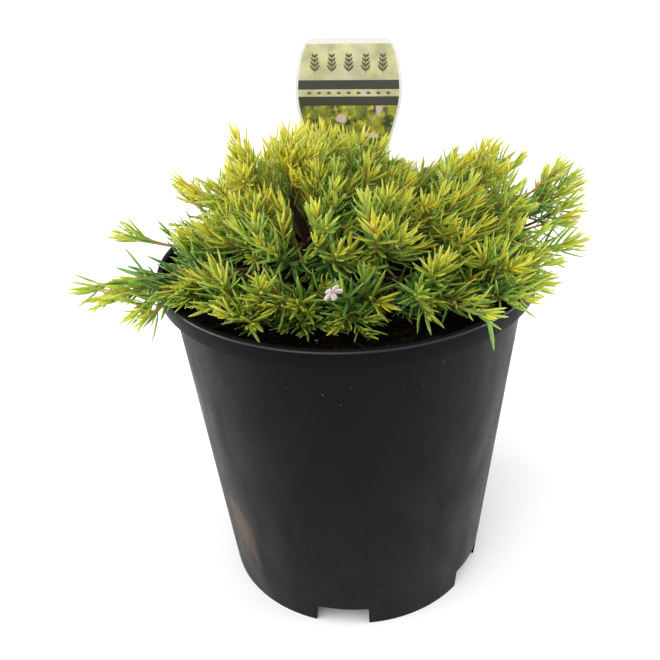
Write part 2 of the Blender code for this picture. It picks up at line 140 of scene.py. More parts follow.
def node(made, kind, **values):
    """A shader node of a kind, with values for its inputs or links into them."""
    tree = made.node_tree
    new = tree.nodes.new(f"ShaderNode{kind}")
    for socket, value in values.items():
        target = new.inputs[socket.replace("_", " ")]
        if isinstance(value, bpy.types.NodeSocket):
            tree.links.new(value, target)
        else:
            target.default_value = value
    return new


# %% Tint it, and give it grain
def clouds(made, scale, detail=3.0, stretch=(1, 1, 1)):
    """A cloudy noise in the piece's own coordinates, 0 to 1; scale counts clouds in a metre."""
    where = node(made, "TexCoord").outputs["Object"]
    squeezed = node(made, "Mapping", Vector=where, Scale=stretch)
    puffs = node(made, "TexNoise", Vector=squeezed.outputs["Vector"], Scale=scale, Detail=detail)
    return puffs.outputs["Fac"]


def between(made, share, low, high, start=0.35, end=0.65):
    """A value that goes from low to high as share goes from start to end."""
    values = {"From_Min": start, "From_Max": end, "To_Min": low, "To_Max": high}
    return node(made, "MapRange", Value=share, **values).outputs["Result"]


def blend(made, share, first, second):
    """A colour between two colours, each a tuple or another colour's socket."""
    mixer = made.node_tree.nodes.new("ShaderNodeMix")
    mixer.data_type = "RGBA"
    links = made.node_tree.links
    links.new(share, mixer.inputs[0])
    for place, colour in ((6, first), (7, second)):
        if isinstance(colour, bpy.types.NodeSocket):
            links.new(colour, mixer.inputs[place])
        else:
            mixer.inputs[place].default_value = (*colour, 1)
    return mixer.outputs[2]


def set_on(made, **sockets):
    """Links values or colours to the shader's own sockets."""
    shader = made.node_tree.nodes["Principled BSDF"]
    for socket, value in sockets.items():
        made.node_tree.links.new(value, shader.inputs[socket.replace("_", " ")])


def relief(made, height, depth, strength=1.0):
    """A fine relief: height from 0 to 1 becomes depth metres."""
    bump = node(made, "Bump", Height=height, Distance=depth, Strength=strength)
    set_on(made, Normal=bump.outputs["Normal"])


# %% [markdown]
# ## The stage
# The photograph is a cut-out on white, lit softly from in front and above, with a broad pale reflection
# down each side of the pot. A pale floor that runs out of view under a pale sky gives the white ground.
# The main light is a sun lamp with a very wide disc, because a sun lights the whole floor evenly, and two
# soft panels low at the sides put the reflections on the pot. The Light Path node lets the sky look
# whiter than it shines, so the ground behind the plant stays white without more light on it.

# %% Floor, sky and lamps
FLOOR_HALF = 12.0
SKY = 0.80
SKY_SEEN = 1.02
SUN_FROM = Vector((-0.45, -0.80, 1.15))
SUN_POWER = 1.38
SUN_DISC = math.radians(50)
POT_LEVEL = 0.10
PANELS = {"left_panel": (-0.95, -0.05, 0.34), "right_panel": (0.95, 0.05, 0.34)}
PANEL_SIZE = 0.7
PANEL_POWER = 8.5

world = bpy.data.worlds.new("pale_sky")
world.use_nodes = True
world.node_tree.nodes["Background"].inputs["Color"].default_value = (1, 1, 1, 1)
seen = world.node_tree.nodes.new("ShaderNodeLightPath").outputs["Is Camera Ray"]
brightness = world.node_tree.nodes.new("ShaderNodeMath")
brightness.operation = "MULTIPLY_ADD"
brightness.inputs[1].default_value = SKY_SEEN - SKY
brightness.inputs[2].default_value = SKY
world.node_tree.links.new(seen, brightness.inputs[0])
world.node_tree.links.new(brightness.outputs[0], world.node_tree.nodes["Background"].inputs["Strength"])
bpy.context.scene.world = world
bpy.context.scene.view_settings.view_transform = "Standard"

corners = [(x * FLOOR_HALF, y * FLOOR_HALF, 0) for x, y in ((-1, -1), (1, -1), (1, 1), (-1, 1))]
floor = bpy.data.objects.new("floor", mesh_of("floor", corners, [(0, 1, 2, 3)]))
floor.data.materials.append(finish("studio_paper", (0.90, 0.90, 0.90), 0.9, Specular_IOR_Level=0.0))
bpy.context.scene.collection.objects.link(floor)


def lamp(name, kind, place, power):
    """A lamp of a kind that stands at a place, aims at the middle of the plant and isn't seen itself."""
    made = bpy.data.objects.new(name, bpy.data.lights.new(name, kind))
    made.data.energy = power
    made.location = place
    aim = Vector((0, 0, POT_LEVEL)) - Vector(place)
    made.rotation_euler = aim.to_track_quat("-Z", "Y").to_euler()
    made.visible_camera = False
    bpy.context.scene.collection.objects.link(made)
    return made


lamp("wide_sun", "SUN", SUN_FROM, SUN_POWER).data.angle = SUN_DISC
for name, place in PANELS.items():
    lamp(name, "AREA", place, PANEL_POWER).data.size = PANEL_SIZE
print("lamps", 1 + len(PANELS))

# %% [markdown]
# ## The pot
# A nursery pot is moulded in thin black plastic: a straight tapering wall, a band at the rim that stands
# out a little, a rounded lip, and a raised floor with notches in the foot for the water. A turned profile
# is the plain way to make it. The lip's corner is drawn round in the profile itself: a Bevel modifier
# takes no more anywhere than its tightest place allows, so here it only breaks the other edges. The
# solid has 56 sides; this one has enough that no flat shows, and the same sizes.

# %% The pot's profile and its notches
POT_HEIGHT = 0.135
RIM_RADIUS = 0.070
RIM_BAND = 0.0062
RIM_LIP = 0.0022
RIM_DRAFT = 0.0003
WALL_TOP_RADIUS = 0.0655
FOOT_RADIUS = 0.0532
WALL = 0.0012
BASE_LIFT = 0.0050
BASE_PLATE = 0.0015
POT_STEPS = 224
LIP_ROUND = 0.0005
LIP_STEPS = 4
NOTCH_WIDTH = 0.0210
NOTCH_HEIGHT = 0.0085
NOTCH_REACH = 0.0090
NOTCH_PAIR_AXIS = math.radians(-63.5)
NOTCH_HALF_SPREAD = math.radians(33.5)


def wall_radius(height):
    """The wall's outer radius at a height; works on numbers and on arrays."""
    return FOOT_RADIUS + (WALL_TOP_RADIUS - FOOT_RADIUS) * height / (POT_HEIGHT - RIM_BAND)


def rounded_lip():
    """Points round the lip's outer corner, from its top to its side."""
    turns = [math.pi / 2 * step / LIP_STEPS for step in range(LIP_STEPS + 1)]
    inside, below = RIM_RADIUS - LIP_ROUND, POT_HEIGHT - LIP_ROUND
    return [(inside + LIP_ROUND * math.sin(turn), below + LIP_ROUND * math.cos(turn)) for turn in turns]


band_foot = POT_HEIGHT - RIM_BAND
plate_top = BASE_LIFT + BASE_PLATE
pot_profile = (
    (0, plate_top), (wall_radius(plate_top) - WALL, plate_top), (WALL_TOP_RADIUS - WALL, band_foot),
    (RIM_RADIUS - RIM_LIP, band_foot + WALL), (RIM_RADIUS - RIM_LIP, POT_HEIGHT), *rounded_lip(),
    (RIM_RADIUS - RIM_DRAFT, band_foot), (WALL_TOP_RADIUS, band_foot), (FOOT_RADIUS, 0),
    (FOOT_RADIUS - 2 * WALL, 0), (wall_radius(BASE_LIFT) - 2 * WALL, BASE_LIFT), (0, BASE_LIFT),
)
print("pot profile points", len(pot_profile))


# %% Helpers to turn a profile and to cut the notches
def turned(name, profile, steps):
    """A mesh turned round Z from (radius, height) pairs that run from the axis over the top and down."""
    shape = bmesh.new()
    ring = [shape.verts.new((radius, 0, height)) for radius, height in profile]
    edges = [shape.edges.new(pair) for pair in zip(ring, ring[1:])]
    turn = {"cent": (0, 0, 0), "axis": (0, 0, 1), "angle": math.tau, "steps": steps, "use_merge": True}
    bmesh.ops.spin(shape, geom=ring + edges, use_duplicate=False, **turn)
    bmesh.ops.remove_doubles(shape, verts=shape.verts, dist=0.000005)
    bmesh.ops.recalc_face_normals(shape, faces=shape.faces)
    mesh = bpy.data.meshes.new(name)
    shape.to_mesh(mesh)
    shape.free()
    return mesh


def notch_cutter():
    """Four blocks, two opposite pairs, that cut the drainage notches."""
    shape = bmesh.new()
    for side in (0, math.pi):
        for half in (-NOTCH_HALF_SPREAD, NOTCH_HALF_SPREAD):
            turn = Matrix.Rotation(NOTCH_PAIR_AXIS + side + half, 4, "Z")
            size = Matrix.Diagonal((2 * NOTCH_REACH, NOTCH_WIDTH, 2 * NOTCH_HEIGHT, 1))
            bmesh.ops.create_cube(shape, matrix=turn @ Matrix.Translation((FOOT_RADIUS, 0, 0)) @ size)
    mesh = bpy.data.meshes.new("notch_cutter")
    shape.to_mesh(mesh)
    shape.free()
    cutter = bpy.data.objects.new("notch_cutter", mesh)
    cutter.location = POT_AXIS
    bpy.context.scene.collection.objects.link(cutter)
    return cutter


def applied(piece, name):
    """The mesh of a piece with its modifiers applied."""
    shown = piece.evaluated_get(bpy.context.evaluated_depsgraph_get())
    mesh = bpy.data.meshes.new_from_object(shown)
    mesh.name = name
    return mesh


print("notch width", round(NOTCH_WIDTH * 1000), "mm")

# %% Turn the pot, cut it and break its edges
EDGE_ROUND = 0.0006
EDGE_STEPS = 3
SHARPER_THAN = math.radians(40)
STAYS_SHARP = math.radians(50)

pot_blank = bpy.data.objects.new("pot_blank", turned("pot_blank", pot_profile, POT_STEPS))
pot_blank.location = POT_AXIS
bpy.context.scene.collection.objects.link(pot_blank)
notches = notch_cutter()
cut = pot_blank.modifiers.new("notches", "BOOLEAN")
cut.operation = "DIFFERENCE"
cut.object = notches
rounding = pot_blank.modifiers.new("rounding", "BEVEL")
rounding.width = EDGE_ROUND
rounding.segments = EDGE_STEPS
rounding.limit_method = "ANGLE"
rounding.angle_limit = SHARPER_THAN
bpy.context.view_layer.update()
pot_mesh = applied(pot_blank, "nursery_pot")
pot_mesh.polygons.foreach_set("use_smooth", [True] * len(pot_mesh.polygons))
pot_mesh.set_sharp_from_angle(angle=STAYS_SHARP)
# The faces of the rounded lip take the lip's finish, whose lighter colour is a painted highlight.
for face in pot_mesh.polygons:
    radius = math.hypot(face.center.x, face.center.y)
    on_lip = face.center.z > POT_HEIGHT - LIP_ROUND and radius > RIM_RADIUS - LIP_ROUND
    face.material_index = int(on_lip)
for helper in (pot_blank, notches):
    bpy.data.objects.remove(helper)
print("pot faces", len(pot_mesh.polygons))

# %% [markdown]
# ## Black plastic
# The real plastic is near black with a satin surface, slightly uneven from the mould, so its reflections
# are broad and soft. Handling leaves it a little dusty and duller in patches, and a muddy run of water
# has dried low on the left of the front. The patches come from stretched noise, and the run is a band
# round one bearing that fades out with height. The lip has a finish of its own, smoother than the wall,
# and its colour is lighter than the plastic's: a painted highlight for the thin line of light on its edge.

# %% The pot's finish
MUD_BEARING = math.radians(-143)
MUD_HALF_WIDTH = math.radians(10)
MUD_FOOT = 0.018
MUD_TOP = 0.056
MUD_STRENGTH = 0.8
WALL_DARK = screen(7, 7, 10)
WALL_DUSTY = screen(15, 14, 18)
DRIED_MUD = screen(84, 68, 58)

black_plastic = finish("black_plastic", screen(10, 9, 13), 0.40, Specular_IOR_Level=0.06)
streaks = clouds(black_plastic, 38, 4.0, (1, 1, 0.35))
fine = clouds(black_plastic, 900, 2.0)
cloudy = clouds(black_plastic, 90, 5.0, (1, 1, 0.45))
where = node(black_plastic, "TexCoord").outputs["Object"]
axes = node(black_plastic, "SeparateXYZ", Vector=where).outputs


def maths(made, operation, first, second=0.0):
    """One sum of two numbers or sockets."""
    step = made.node_tree.nodes.new("ShaderNodeMath")
    step.operation = operation
    for place, value in enumerate((first, second)):
        if isinstance(value, bpy.types.NodeSocket):
            made.node_tree.links.new(value, step.inputs[place])
        else:
            step.inputs[place].default_value = value
    return step.outputs[0]


bearing = maths(black_plastic, "ARCTAN2", axes["Y"], axes["X"])
off_mud = maths(black_plastic, "ABSOLUTE", maths(black_plastic, "SUBTRACT", bearing, MUD_BEARING))
beside = between(black_plastic, off_mud, 1.0, 0.0, 0.4 * MUD_HALF_WIDTH, MUD_HALF_WIDTH)
below_top = between(black_plastic, axes["Z"], 1.0, 0.0, 0.80 * MUD_TOP, MUD_TOP)
above_foot = between(black_plastic, axes["Z"], 0.0, 1.0, 0.5 * MUD_FOOT, MUD_FOOT)
in_run = maths(black_plastic, "MULTIPLY", maths(black_plastic, "MULTIPLY", beside, below_top), above_foot)
mud = maths(black_plastic, "MULTIPLY", in_run, between(black_plastic, cloudy, 0.0, 1.0, 0.42, 0.58))
dusty = blend(black_plastic, between(black_plastic, streaks, 0.0, 0.5), WALL_DARK, WALL_DUSTY)
muddy = blend(black_plastic, maths(black_plastic, "MULTIPLY", mud, MUD_STRENGTH), dusty, DRIED_MUD)
set_on(black_plastic, Base_Color=muddy, Roughness=between(black_plastic, cloudy, 0.36, 0.48))
relief(black_plastic, fine, 0.00002, 0.5)
print("mud run at", round(math.degrees(MUD_BEARING)), "degrees")

# %% The lip's finish, lighter in colour as a painted highlight
painted_highlight_lip = finish("lip_with_painted_highlight", screen(28, 27, 31), 0.25, Specular_IOR_Level=0.35)
# The lip's colour, lighter than the wall's, is a painted highlight on top of the gloss from its lower
# roughness.
lip_highlight_tone = blend(painted_highlight_lip, clouds(painted_highlight_lip, 45, 3.0), screen(14, 13, 17), screen(40, 39, 43))
lip_wear = between(painted_highlight_lip, clouds(painted_highlight_lip, 60, 3.0), 0.16, 0.34)
set_on(painted_highlight_lip, Base_Color=lip_highlight_tone, Roughness=lip_wear)
put("nursery_pot", pot_mesh, [black_plastic, painted_highlight_lip], ["pot"])
print("lip faces", sum(face.material_index == 1 for face in pot_mesh.polygons))

# %% [markdown]
# ## Crumbs on the wall
# Grains of dried mix cling to the outside of a pot that has been handled. They could be dots in the
# plastic's finish, but real ones stand out and catch light, so each is a small bent ball pressed into the
# wall.

# %% Crumbs stuck to the pot
# Bearing in degrees and height in millimetres of the crumbs that show in front; others lie all round
FRONT_CRUMBS = ((-99, 128), (-90, 119), (-75, 117), (-69, 116), (-93, 112), (-31, 73))
CRUMBS_ROUND = 34
CRUMB_HEIGHTS = (0.012, 0.125)
CRUMB_SIZE = 0.00055
CRUMB_SIZES = (0.5, 1.2)
CRUMB_WIDTHS = (0.6, 1.6)
CRUMB_DENT = 0.1


def crumb_mesh():
    """Small bent lumps pressed into the outside of the wall."""
    rng = random.Random("crumbs on the pot")
    places = [(math.radians(bearing), height / 1000) for bearing, height in FRONT_CRUMBS]
    places += [(rng.uniform(-math.pi, math.pi), rng.uniform(*CRUMB_HEIGHTS)) for _ in range(CRUMBS_ROUND)]
    shape = bmesh.new()
    for bearing, height in places:
        out = Vector((math.cos(bearing), math.sin(bearing), 0))
        size = CRUMB_SIZE * rng.uniform(*CRUMB_SIZES)
        wide, high = size * rng.uniform(*CRUMB_WIDTHS), size * rng.uniform(*CRUMB_WIDTHS)
        stretch = Matrix.Diagonal((size, wide, high, 1))
        radius = RIM_RADIUS - RIM_DRAFT if height > band_foot else wall_radius(height)
        place = Matrix.Translation(out * radius + Vector((0, 0, height))) @ Matrix.Rotation(bearing, 4, "Z")
        lump = bmesh.ops.create_icosphere(shape, subdivisions=1, radius=0.5, matrix=place @ stretch)
        for vert in lump["verts"]:
            vert.co += Vector([rng.uniform(-CRUMB_DENT, CRUMB_DENT) * size for _ in range(3)])
    mesh = bpy.data.meshes.new("pot_crumbs")
    shape.to_mesh(mesh)
    shape.free()
    return mesh


crumb_finish = finish("dried_crumbs", screen(84, 76, 70), 0.9, Specular_IOR_Level=0.2)
crumb_tone = blend(crumb_finish, clouds(crumb_finish, 300, 2.0), screen(58, 48, 42), screen(116, 110, 104))
set_on(crumb_finish, Base_Color=crumb_tone)
put("pot_crumbs", crumb_mesh(), [crumb_finish])
print("crumbs", len(FRONT_CRUMBS) + CRUMBS_ROUND)

# %% [markdown]
# ## The potting mix
# Between the leaves and the wall the mix shows as a very dark, damp, crumbly bed: chips of composted
# bark, a few paler fibres and a grain or two of white. A flat disc with a noise texture would read as
# paper, so the bed is a mesh pushed up and down by noise, with some two thousand separate chips lying in
# it. One eight-cornered block is bent out of shape a different way for each chip.

# %% The bed of the potting mix
SOIL_TOP = 0.117
SOIL_CROWN = 0.0020
SOIL_CROWN_RADIUS = 0.020
GAP = 0.0003
BED_RINGS = 70
BED_STEPS = 220
BED_RELIEF = 0.0011
BED_SINK = 0.35
LUMPS_PER_METRE = (210, 620)
BED_EDGE = wall_radius(SOIL_TOP) - WALL - 1.5 * GAP
BED_DEPTH = 0.012


def bed_height(x, y):
    """The top of the mix at a place: a low crown, roughened by noise at two sizes."""
    radius = math.hypot(x, y)
    slope = min(1, max(0, (BED_EDGE - radius) / (BED_EDGE - SOIL_CROWN_RADIUS)))
    large, small = LUMPS_PER_METRE
    lumps = noise.noise(Vector((x, y, 0.3)) * large) + 0.5 * noise.noise(Vector((x, y, 0.7)) * small)
    return SOIL_TOP + SOIL_CROWN * slope + BED_RELIEF * (lumps - BED_SINK)


def bed_mesh():
    """Rings of points at the bed's height, and a flat underside."""
    points = [(0, 0, bed_height(0, 0))]
    faces = []
    for ring in range(1, BED_RINGS + 1):
        radius = BED_EDGE * ring / BED_RINGS
        for step in range(BED_STEPS):
            x = radius * math.cos(math.tau * step / BED_STEPS)
            y = radius * math.sin(math.tau * step / BED_STEPS)
            points.append((x, y, bed_height(x, y)))
    last = len(points) - BED_STEPS
    points += [(x, y, SOIL_TOP - BED_DEPTH) for x, y, _ in points[last:]]
    for step in range(BED_STEPS):
        after = (step + 1) % BED_STEPS
        faces.append((0, 1 + step, 1 + after))
        for ring in range(BED_RINGS):
            inner = 1 + ring * BED_STEPS
            outer = inner + BED_STEPS
            faces.append((inner + step, outer + step, outer + after, inner + after))
    faces.append([last + BED_STEPS + step for step in reversed(range(BED_STEPS))])
    return mesh_of("mix_bed", points, faces)


damp_mix = finish("damp_mix", screen(24, 18, 14), 0.95, Specular_IOR_Level=0.15)
mix_shade = blend(damp_mix, clouds(damp_mix, 420, 6.0), screen(12, 9, 8), screen(38, 29, 22))
set_on(damp_mix, Base_Color=mix_shade)
relief(damp_mix, clouds(damp_mix, 1500, 6.0), 0.0004)
put("mix_bed", bed_mesh(), [damp_mix], ["potting_mix"])
print("bed rings", BED_RINGS, "of", BED_STEPS, "points")

# %% Chips, fibres and grains in the mix
# How many of each kind, its size and its colour
CHIP_KINDS = {
    "dark_chips": (1500, (0.0035, 0.0017, 0.0009), screen(22, 16, 13)),
    "brown_chips": (420, (0.0042, 0.0018, 0.0008), screen(46, 33, 24)),
    "fibres": (130, (0.0075, 0.0005, 0.0004), screen(84, 62, 44)),
    "pale_grains": (26, (0.0013, 0.0011, 0.0009), screen(176, 172, 160)),
}
BLOCK = np.array([(x, y, z) for x in (-0.5, 0.5) for y in (-0.5, 0.5) for z in (-0.5, 0.5)])
BLOCK_FACES = np.array([(0, 1, 3, 2), (4, 6, 7, 5), (0, 4, 5, 1), (2, 3, 7, 6), (0, 2, 6, 4), (1, 5, 7, 3)])
CHIP_MARGIN = 0.0016
CHIP_BEND = 0.16
CHIP_SIZES = (0.55, 1.25)
CHIP_TILT = 0.28
CHIP_LIFT = 0.55


def chip_mesh(name, count, size):
    """Many bent blocks of about one size, each lying nearly flat at its own place in the bed."""
    rng = np.random.default_rng(sum(map(ord, name)))
    points = []
    for _ in range(count):
        radius = (BED_EDGE - CHIP_MARGIN) * math.sqrt(rng.uniform(0.0, 1.0))
        turn = rng.uniform(0, math.tau)
        x, y = radius * math.cos(turn), radius * math.sin(turn)
        bent = BLOCK + rng.uniform(-CHIP_BEND, CHIP_BEND, BLOCK.shape)
        corners = bent * size * rng.uniform(*CHIP_SIZES, 3)
        tilt = Quaternion((rng.normal(), rng.normal(), 0.01), rng.normal(0, CHIP_TILT))
        lay = (tilt @ Quaternion((0, 0, 1), rng.uniform(0, math.tau))).to_matrix()
        lift = bed_height(x, y) + size[2] * rng.uniform(0.0, CHIP_LIFT)
        points.append(corners @ np.array(lay).T + (x, y, lift))
    faces = np.concatenate([BLOCK_FACES + 8 * i for i in range(count)])
    return mesh_of(name, np.concatenate(points), faces, smooth=False)


for name, (count, size, colour) in CHIP_KINDS.items():
    chip_finish = finish(name, colour, 0.85, Specular_IOR_Level=0.2)
    relief(chip_finish, clouds(chip_finish, 2600, 4.0), 0.0002)
    put(name, chip_mesh(name, count, size), [chip_finish])
print("chips", sum(count for count, _, _ in CHIP_KINDS.values()))

# %% [markdown]
# ## The plant tag
# Growers push a thin printed card into the pot. This one has a plain print: a pale border, a soft
# olive-cream panel with a row of sprigs, two plain dark stripes with a row of lozenges between them, and
# below them a leafy panel of greens and golds with a few pale pink dots. The card is built in rows down
# its length, as wide as its outline at each row, and each stretch of rows between the borders takes its
# own finish, so the edges of the print are real edges of the mesh and stay sharp.

# %% The tag's outline
TAG_SIDE = ((0.0140, 0.0), (0.0212, 0.0150), (0.0164, 0.0440), (0.0075, 0.0740), (0.0060, 0.1000))
TAG_CORNER_HANDLE = 0.0052
TAG_LENGTH = 0.138
TAG_THICKNESS = 0.0007
TAG_TOP = Vector((0.0040, 0.0600, 0.2022))
TAG_LEAN_BACK = math.radians(7.0)
TAG_LEAN_RIGHT = math.radians(2.0)
TAG_BORDER = 0.0011
PANEL_TOP = 0.0021
UPPER_STRIPE = (0.0160, 0.0196)
LOWER_STRIPE = (0.0224, 0.0260)
PRINT_FOOT = 0.0700


def tag_matrix():
    """The tag's own frame: origin at the middle of its top edge, X across, Y up it, Z out of its face."""
    facing = Matrix.Rotation(math.pi / 2, 4, "X")
    lean = Matrix.Rotation(-TAG_LEAN_BACK, 4, "X") @ Matrix.Rotation(TAG_LEAN_RIGHT, 4, "Y")
    return Matrix.Translation(TAG_TOP) @ lean @ facing


def tag_side():
    """(half width, distance down) along one smooth side, read off the same curve as the solid's."""
    outline = bpy.data.curves.new("tag_outline", "CURVE")
    outline.dimensions = "2D"
    outline.resolution_u = 40
    right = [(half, -down) for half, down in TAG_SIDE]
    points = [*right, (0, -TAG_LENGTH), *[(-x, y) for x, y in reversed(right)]]
    spline = outline.splines.new("BEZIER")
    spline.bezier_points.add(len(points) - 1)
    spline.use_cyclic_u = True
    for point, (x, y) in zip(spline.bezier_points, points):
        point.co = (x, y, 0)
        kind = "AUTO" if 0 > y > -TAG_LENGTH else "VECTOR"
        point.handle_left_type = point.handle_right_type = kind
    for corner, handle in ((spline.bezier_points[0], "right"), (spline.bezier_points[-1], "left")):
        side = math.copysign(1, corner.co.x)
        setattr(corner, f"handle_{handle}_type", "FREE")
        setattr(corner, f"handle_{handle}", corner.co + Vector((side * TAG_CORNER_HANDLE, 0, 0)))
    shown = bpy.data.objects.new("tag_outline", outline)
    bpy.context.scene.collection.objects.link(shown)
    bpy.context.view_layer.update()
    mesh = applied(shown, "tag_outline")
    bpy.data.objects.remove(shown)
    side = sorted({(round(-v.co.y, 6), v.co.x) for v in mesh.vertices if v.co.x > 0})
    return np.array(side)


side_curve = tag_side()
print("tag side points", len(side_curve))


# %% The tag's card
ROW_STEP = 0.0012
CORNER_ROWS = 8
FIRST_ROW = 0.00002
EVEN_ROWS_FROM = 0.0030
POINT_MARGIN = 0.0004


def tag_rows():
    """Distances down the tag: close together at its rounded corners, and one at each edge of the print."""
    top = [FIRST_ROW + ROW_STEP * (i / CORNER_ROWS) ** 2 for i in range(CORNER_ROWS + 1)]
    rest = np.arange(EVEN_ROWS_FROM, TAG_LENGTH - POINT_MARGIN, ROW_STEP)
    return sorted({*top, *rest.round(6), PANEL_TOP, *UPPER_STRIPE, *LOWER_STRIPE, PRINT_FOOT})


def tag_finish_number(down, in_border):
    """Which finish a stretch takes: 0 card, 1 cream panel, 2 dark stripe, 3 leafy panel."""
    if in_border or not PANEL_TOP < down < PRINT_FOOT:
        return 0
    if any(top < down < foot for top, foot in (UPPER_STRIPE, LOWER_STRIPE)):
        return 2
    return 1 if down < LOWER_STRIPE[0] else 3


def tag_mesh():
    """The card: a front and a back skin in rows, closed along its edges, with a finish for each face."""
    rows = tag_rows()
    into = tag_matrix()
    points = []
    for down in rows:
        half = float(np.interp(down, side_curve[:, 0], side_curve[:, 1]))
        inner = max(half - TAG_BORDER, half * 0.5)
        across = [-half, -inner, -inner / 2, 0, inner / 2, inner, half]
        for face in (0.5, -0.5):
            points += [into @ Vector((x, -down, face * TAG_THICKNESS)) for x in across]
    wide = len(across)
    faces, numbers = [], []
    for row in range(len(rows) - 1):
        here, below = 2 * wide * row, 2 * wide * (row + 1)
        middle = (rows[row] + rows[row + 1]) / 2
        for i in range(wide - 1):
            faces.append((here + i, below + i, below + i + 1, here + i + 1))
            numbers.append(tag_finish_number(middle, i in (0, wide - 2)))
            back = wide + i
            faces.append((here + back, here + back + 1, below + back + 1, below + back))
            numbers.append(0)
        for i, turn in ((0, 1), (wide - 1, -1)):
            edge = (here + i, here + wide + i, below + wide + i, below + i)
            faces.append(edge[::turn])
            numbers.append(0)
    for row, turn in ((0, -1), (len(rows) - 1, 1)):
        start = 2 * wide * row
        for i in range(wide - 1):
            end = (start + i, start + wide + i, start + wide + i + 1, start + i + 1)
            faces.append(end[::turn])
            numbers.append(0)
    mesh = mesh_of("plant_tag_card", points, faces, smooth=False)
    mesh.polygons.foreach_set("material_index", numbers)
    return mesh


print("tag rows", len(tag_rows()))


# %% The print's finishes
def dappled(made, scale, detail, under, over, most=1, start=0.35, end=0.65):
    """A colour with clouds of another colour over it."""
    share = between(made, clouds(made, scale, detail), 0, most, start, end)
    return blend(made, share, under, over)


card = finish("tag_card", screen(222, 221, 216), 0.35, Coat_Weight=0.2, Coat_Roughness=0.2)
cream_print = finish("tag_cream_print", screen(200, 199, 146), 0.35, Coat_Weight=0.25, Coat_Roughness=0.2)
cream = dappled(cream_print, 150, 2.5, screen(206, 203, 146), screen(172, 170, 128))
cream = dappled(cream_print, 95, 1.5, cream, screen(206, 198, 180), 0.8, 0.5, 0.72)
set_on(cream_print, Base_Color=cream)
band_print = finish("tag_dark_stripe", screen(52, 52, 43), 0.35, Coat_Weight=0.25, Coat_Roughness=0.2)
band_tone = blend(band_print, clouds(band_print, 120, 2.0), screen(46, 47, 38), screen(60, 59, 50))
set_on(band_print, Base_Color=band_tone)
leafy_print = finish("tag_leafy_print", screen(140, 140, 50), 0.35, Coat_Weight=0.25, Coat_Roughness=0.2)
leafy = dappled(leafy_print, 210, 3.0, screen(46, 62, 34), screen(150, 152, 48))
leafy = dappled(leafy_print, 340, 2.0, leafy, screen(186, 178, 54), 1, 0.52, 0.66)
leafy = dappled(leafy_print, 260, 0.0, leafy, screen(206, 184, 176), 0.9, 0.66, 0.74)
set_on(leafy_print, Base_Color=leafy)
tag_card = tag_mesh()
put("plant_tag_card", tag_card, [card, cream_print, band_print, leafy_print], ["plant_tag"])
print("tag faces", len(tag_card.polygons))

# %% [markdown]
# ## The tag's small motifs
# The printed row and the stripes carry small shapes. A mask in the card's finish would blur them, so the
# sprigs and lozenges are flat outlines of a few points each, laid a hair above the card.

# %% Sprigs and lozenges on the tag
SPRIGS = 5
SPRIG_STEP = 0.0068
SPRIG_FOOT = 0.0140
SPRIG_HEIGHT = 0.0088
SPRIG_LEAF = 0.0034
SPRIG_LEAF_WIDTH = 0.0010
SPRIG_STALK_WIDTH = 0.0005
SPRIG_PAIRS = 4
SPRIG_SPREAD = math.radians(38)
FIRST_PAIR = 0.15
PAIR_STEP = 0.20
SHORTER_EACH_PAIR = 0.13
LOZENGES = 9
LOZENGE_STEP = 0.0040
LOZENGE_SIZE = 0.0011
LOZENGE_HEIGHT = 0.6
PRINT_LIFT = 0.00003


def flat_leaf(root, turn, length, width):
    """A pointed leaf outline in the tag's plane: (across, up) points from its root."""
    ahead = Vector((math.sin(turn), math.cos(turn)))
    aside = Vector((ahead.y, -ahead.x))
    shape = ((0.0, 0.0), (0.35, 0.5), (0.70, 0.38), (1.0, 0.0), (0.70, -0.38), (0.35, -0.5))
    return [root + ahead * length * s + aside * width * w for s, w in shape]


def sprig(across):
    """A stalk with pairs of leaves that get shorter to its tip."""
    root = Vector((across, -SPRIG_FOOT))
    outlines = [flat_leaf(root, 0, SPRIG_HEIGHT, SPRIG_STALK_WIDTH)]
    for pair in range(SPRIG_PAIRS):
        place = root + Vector((0, SPRIG_HEIGHT * (FIRST_PAIR + PAIR_STEP * pair)))
        length = SPRIG_LEAF * (1 - SHORTER_EACH_PAIR * pair)
        for side in (-1, 1):
            outlines.append(flat_leaf(place, side * SPRIG_SPREAD, length, SPRIG_LEAF_WIDTH))
    return outlines


def motif_mesh():
    """Every sprig and lozenge as one flat face each, on the front of the card."""
    middle_row = -(UPPER_STRIPE[1] + LOWER_STRIPE[0]) / 2
    outlines = []
    for i in range(SPRIGS):
        outlines += sprig((i - (SPRIGS - 1) / 2) * SPRIG_STEP)
    for i in range(LOZENGES):
        place = Vector(((i - (LOZENGES - 1) / 2) * LOZENGE_STEP, middle_row))
        corners = ((-1, 0), (0, -LOZENGE_HEIGHT), (1, 0), (0, LOZENGE_HEIGHT))
        outlines.append([place + Vector(corner) * LOZENGE_SIZE for corner in corners])
    into = tag_matrix()
    points, faces = [], []
    for outline in outlines:
        faces.append(range(len(points), len(points) + len(outline)))
        points += [into @ Vector((x, y, TAG_THICKNESS / 2 + PRINT_LIFT)) for x, y in outline]
    return mesh_of("tag_motifs", points, faces, smooth=False)


motif_print = finish("tag_motif_print", screen(84, 86, 58), 0.4, Coat_Weight=0.2, Coat_Roughness=0.2)
motif_tone = blend(motif_print, clouds(motif_print, 400, 2.0), screen(74, 78, 50), screen(98, 98, 64))
set_on(motif_print, Base_Color=motif_tone)
put("tag_motifs", motif_mesh(), [motif_print])
print("sprigs", SPRIGS, "lozenges", LOZENGES)

# %% [markdown]
# ## The limbs
# The solids follow one short list: for each limb its bearing, how far and how high its last leaf reaches,
# how steeply it ends and how high it leaves the main stem. The same list and the same curves are written
# again here, because the fine growth has to start exactly on the limbs and fill exactly the room that
# each coarse mass has.

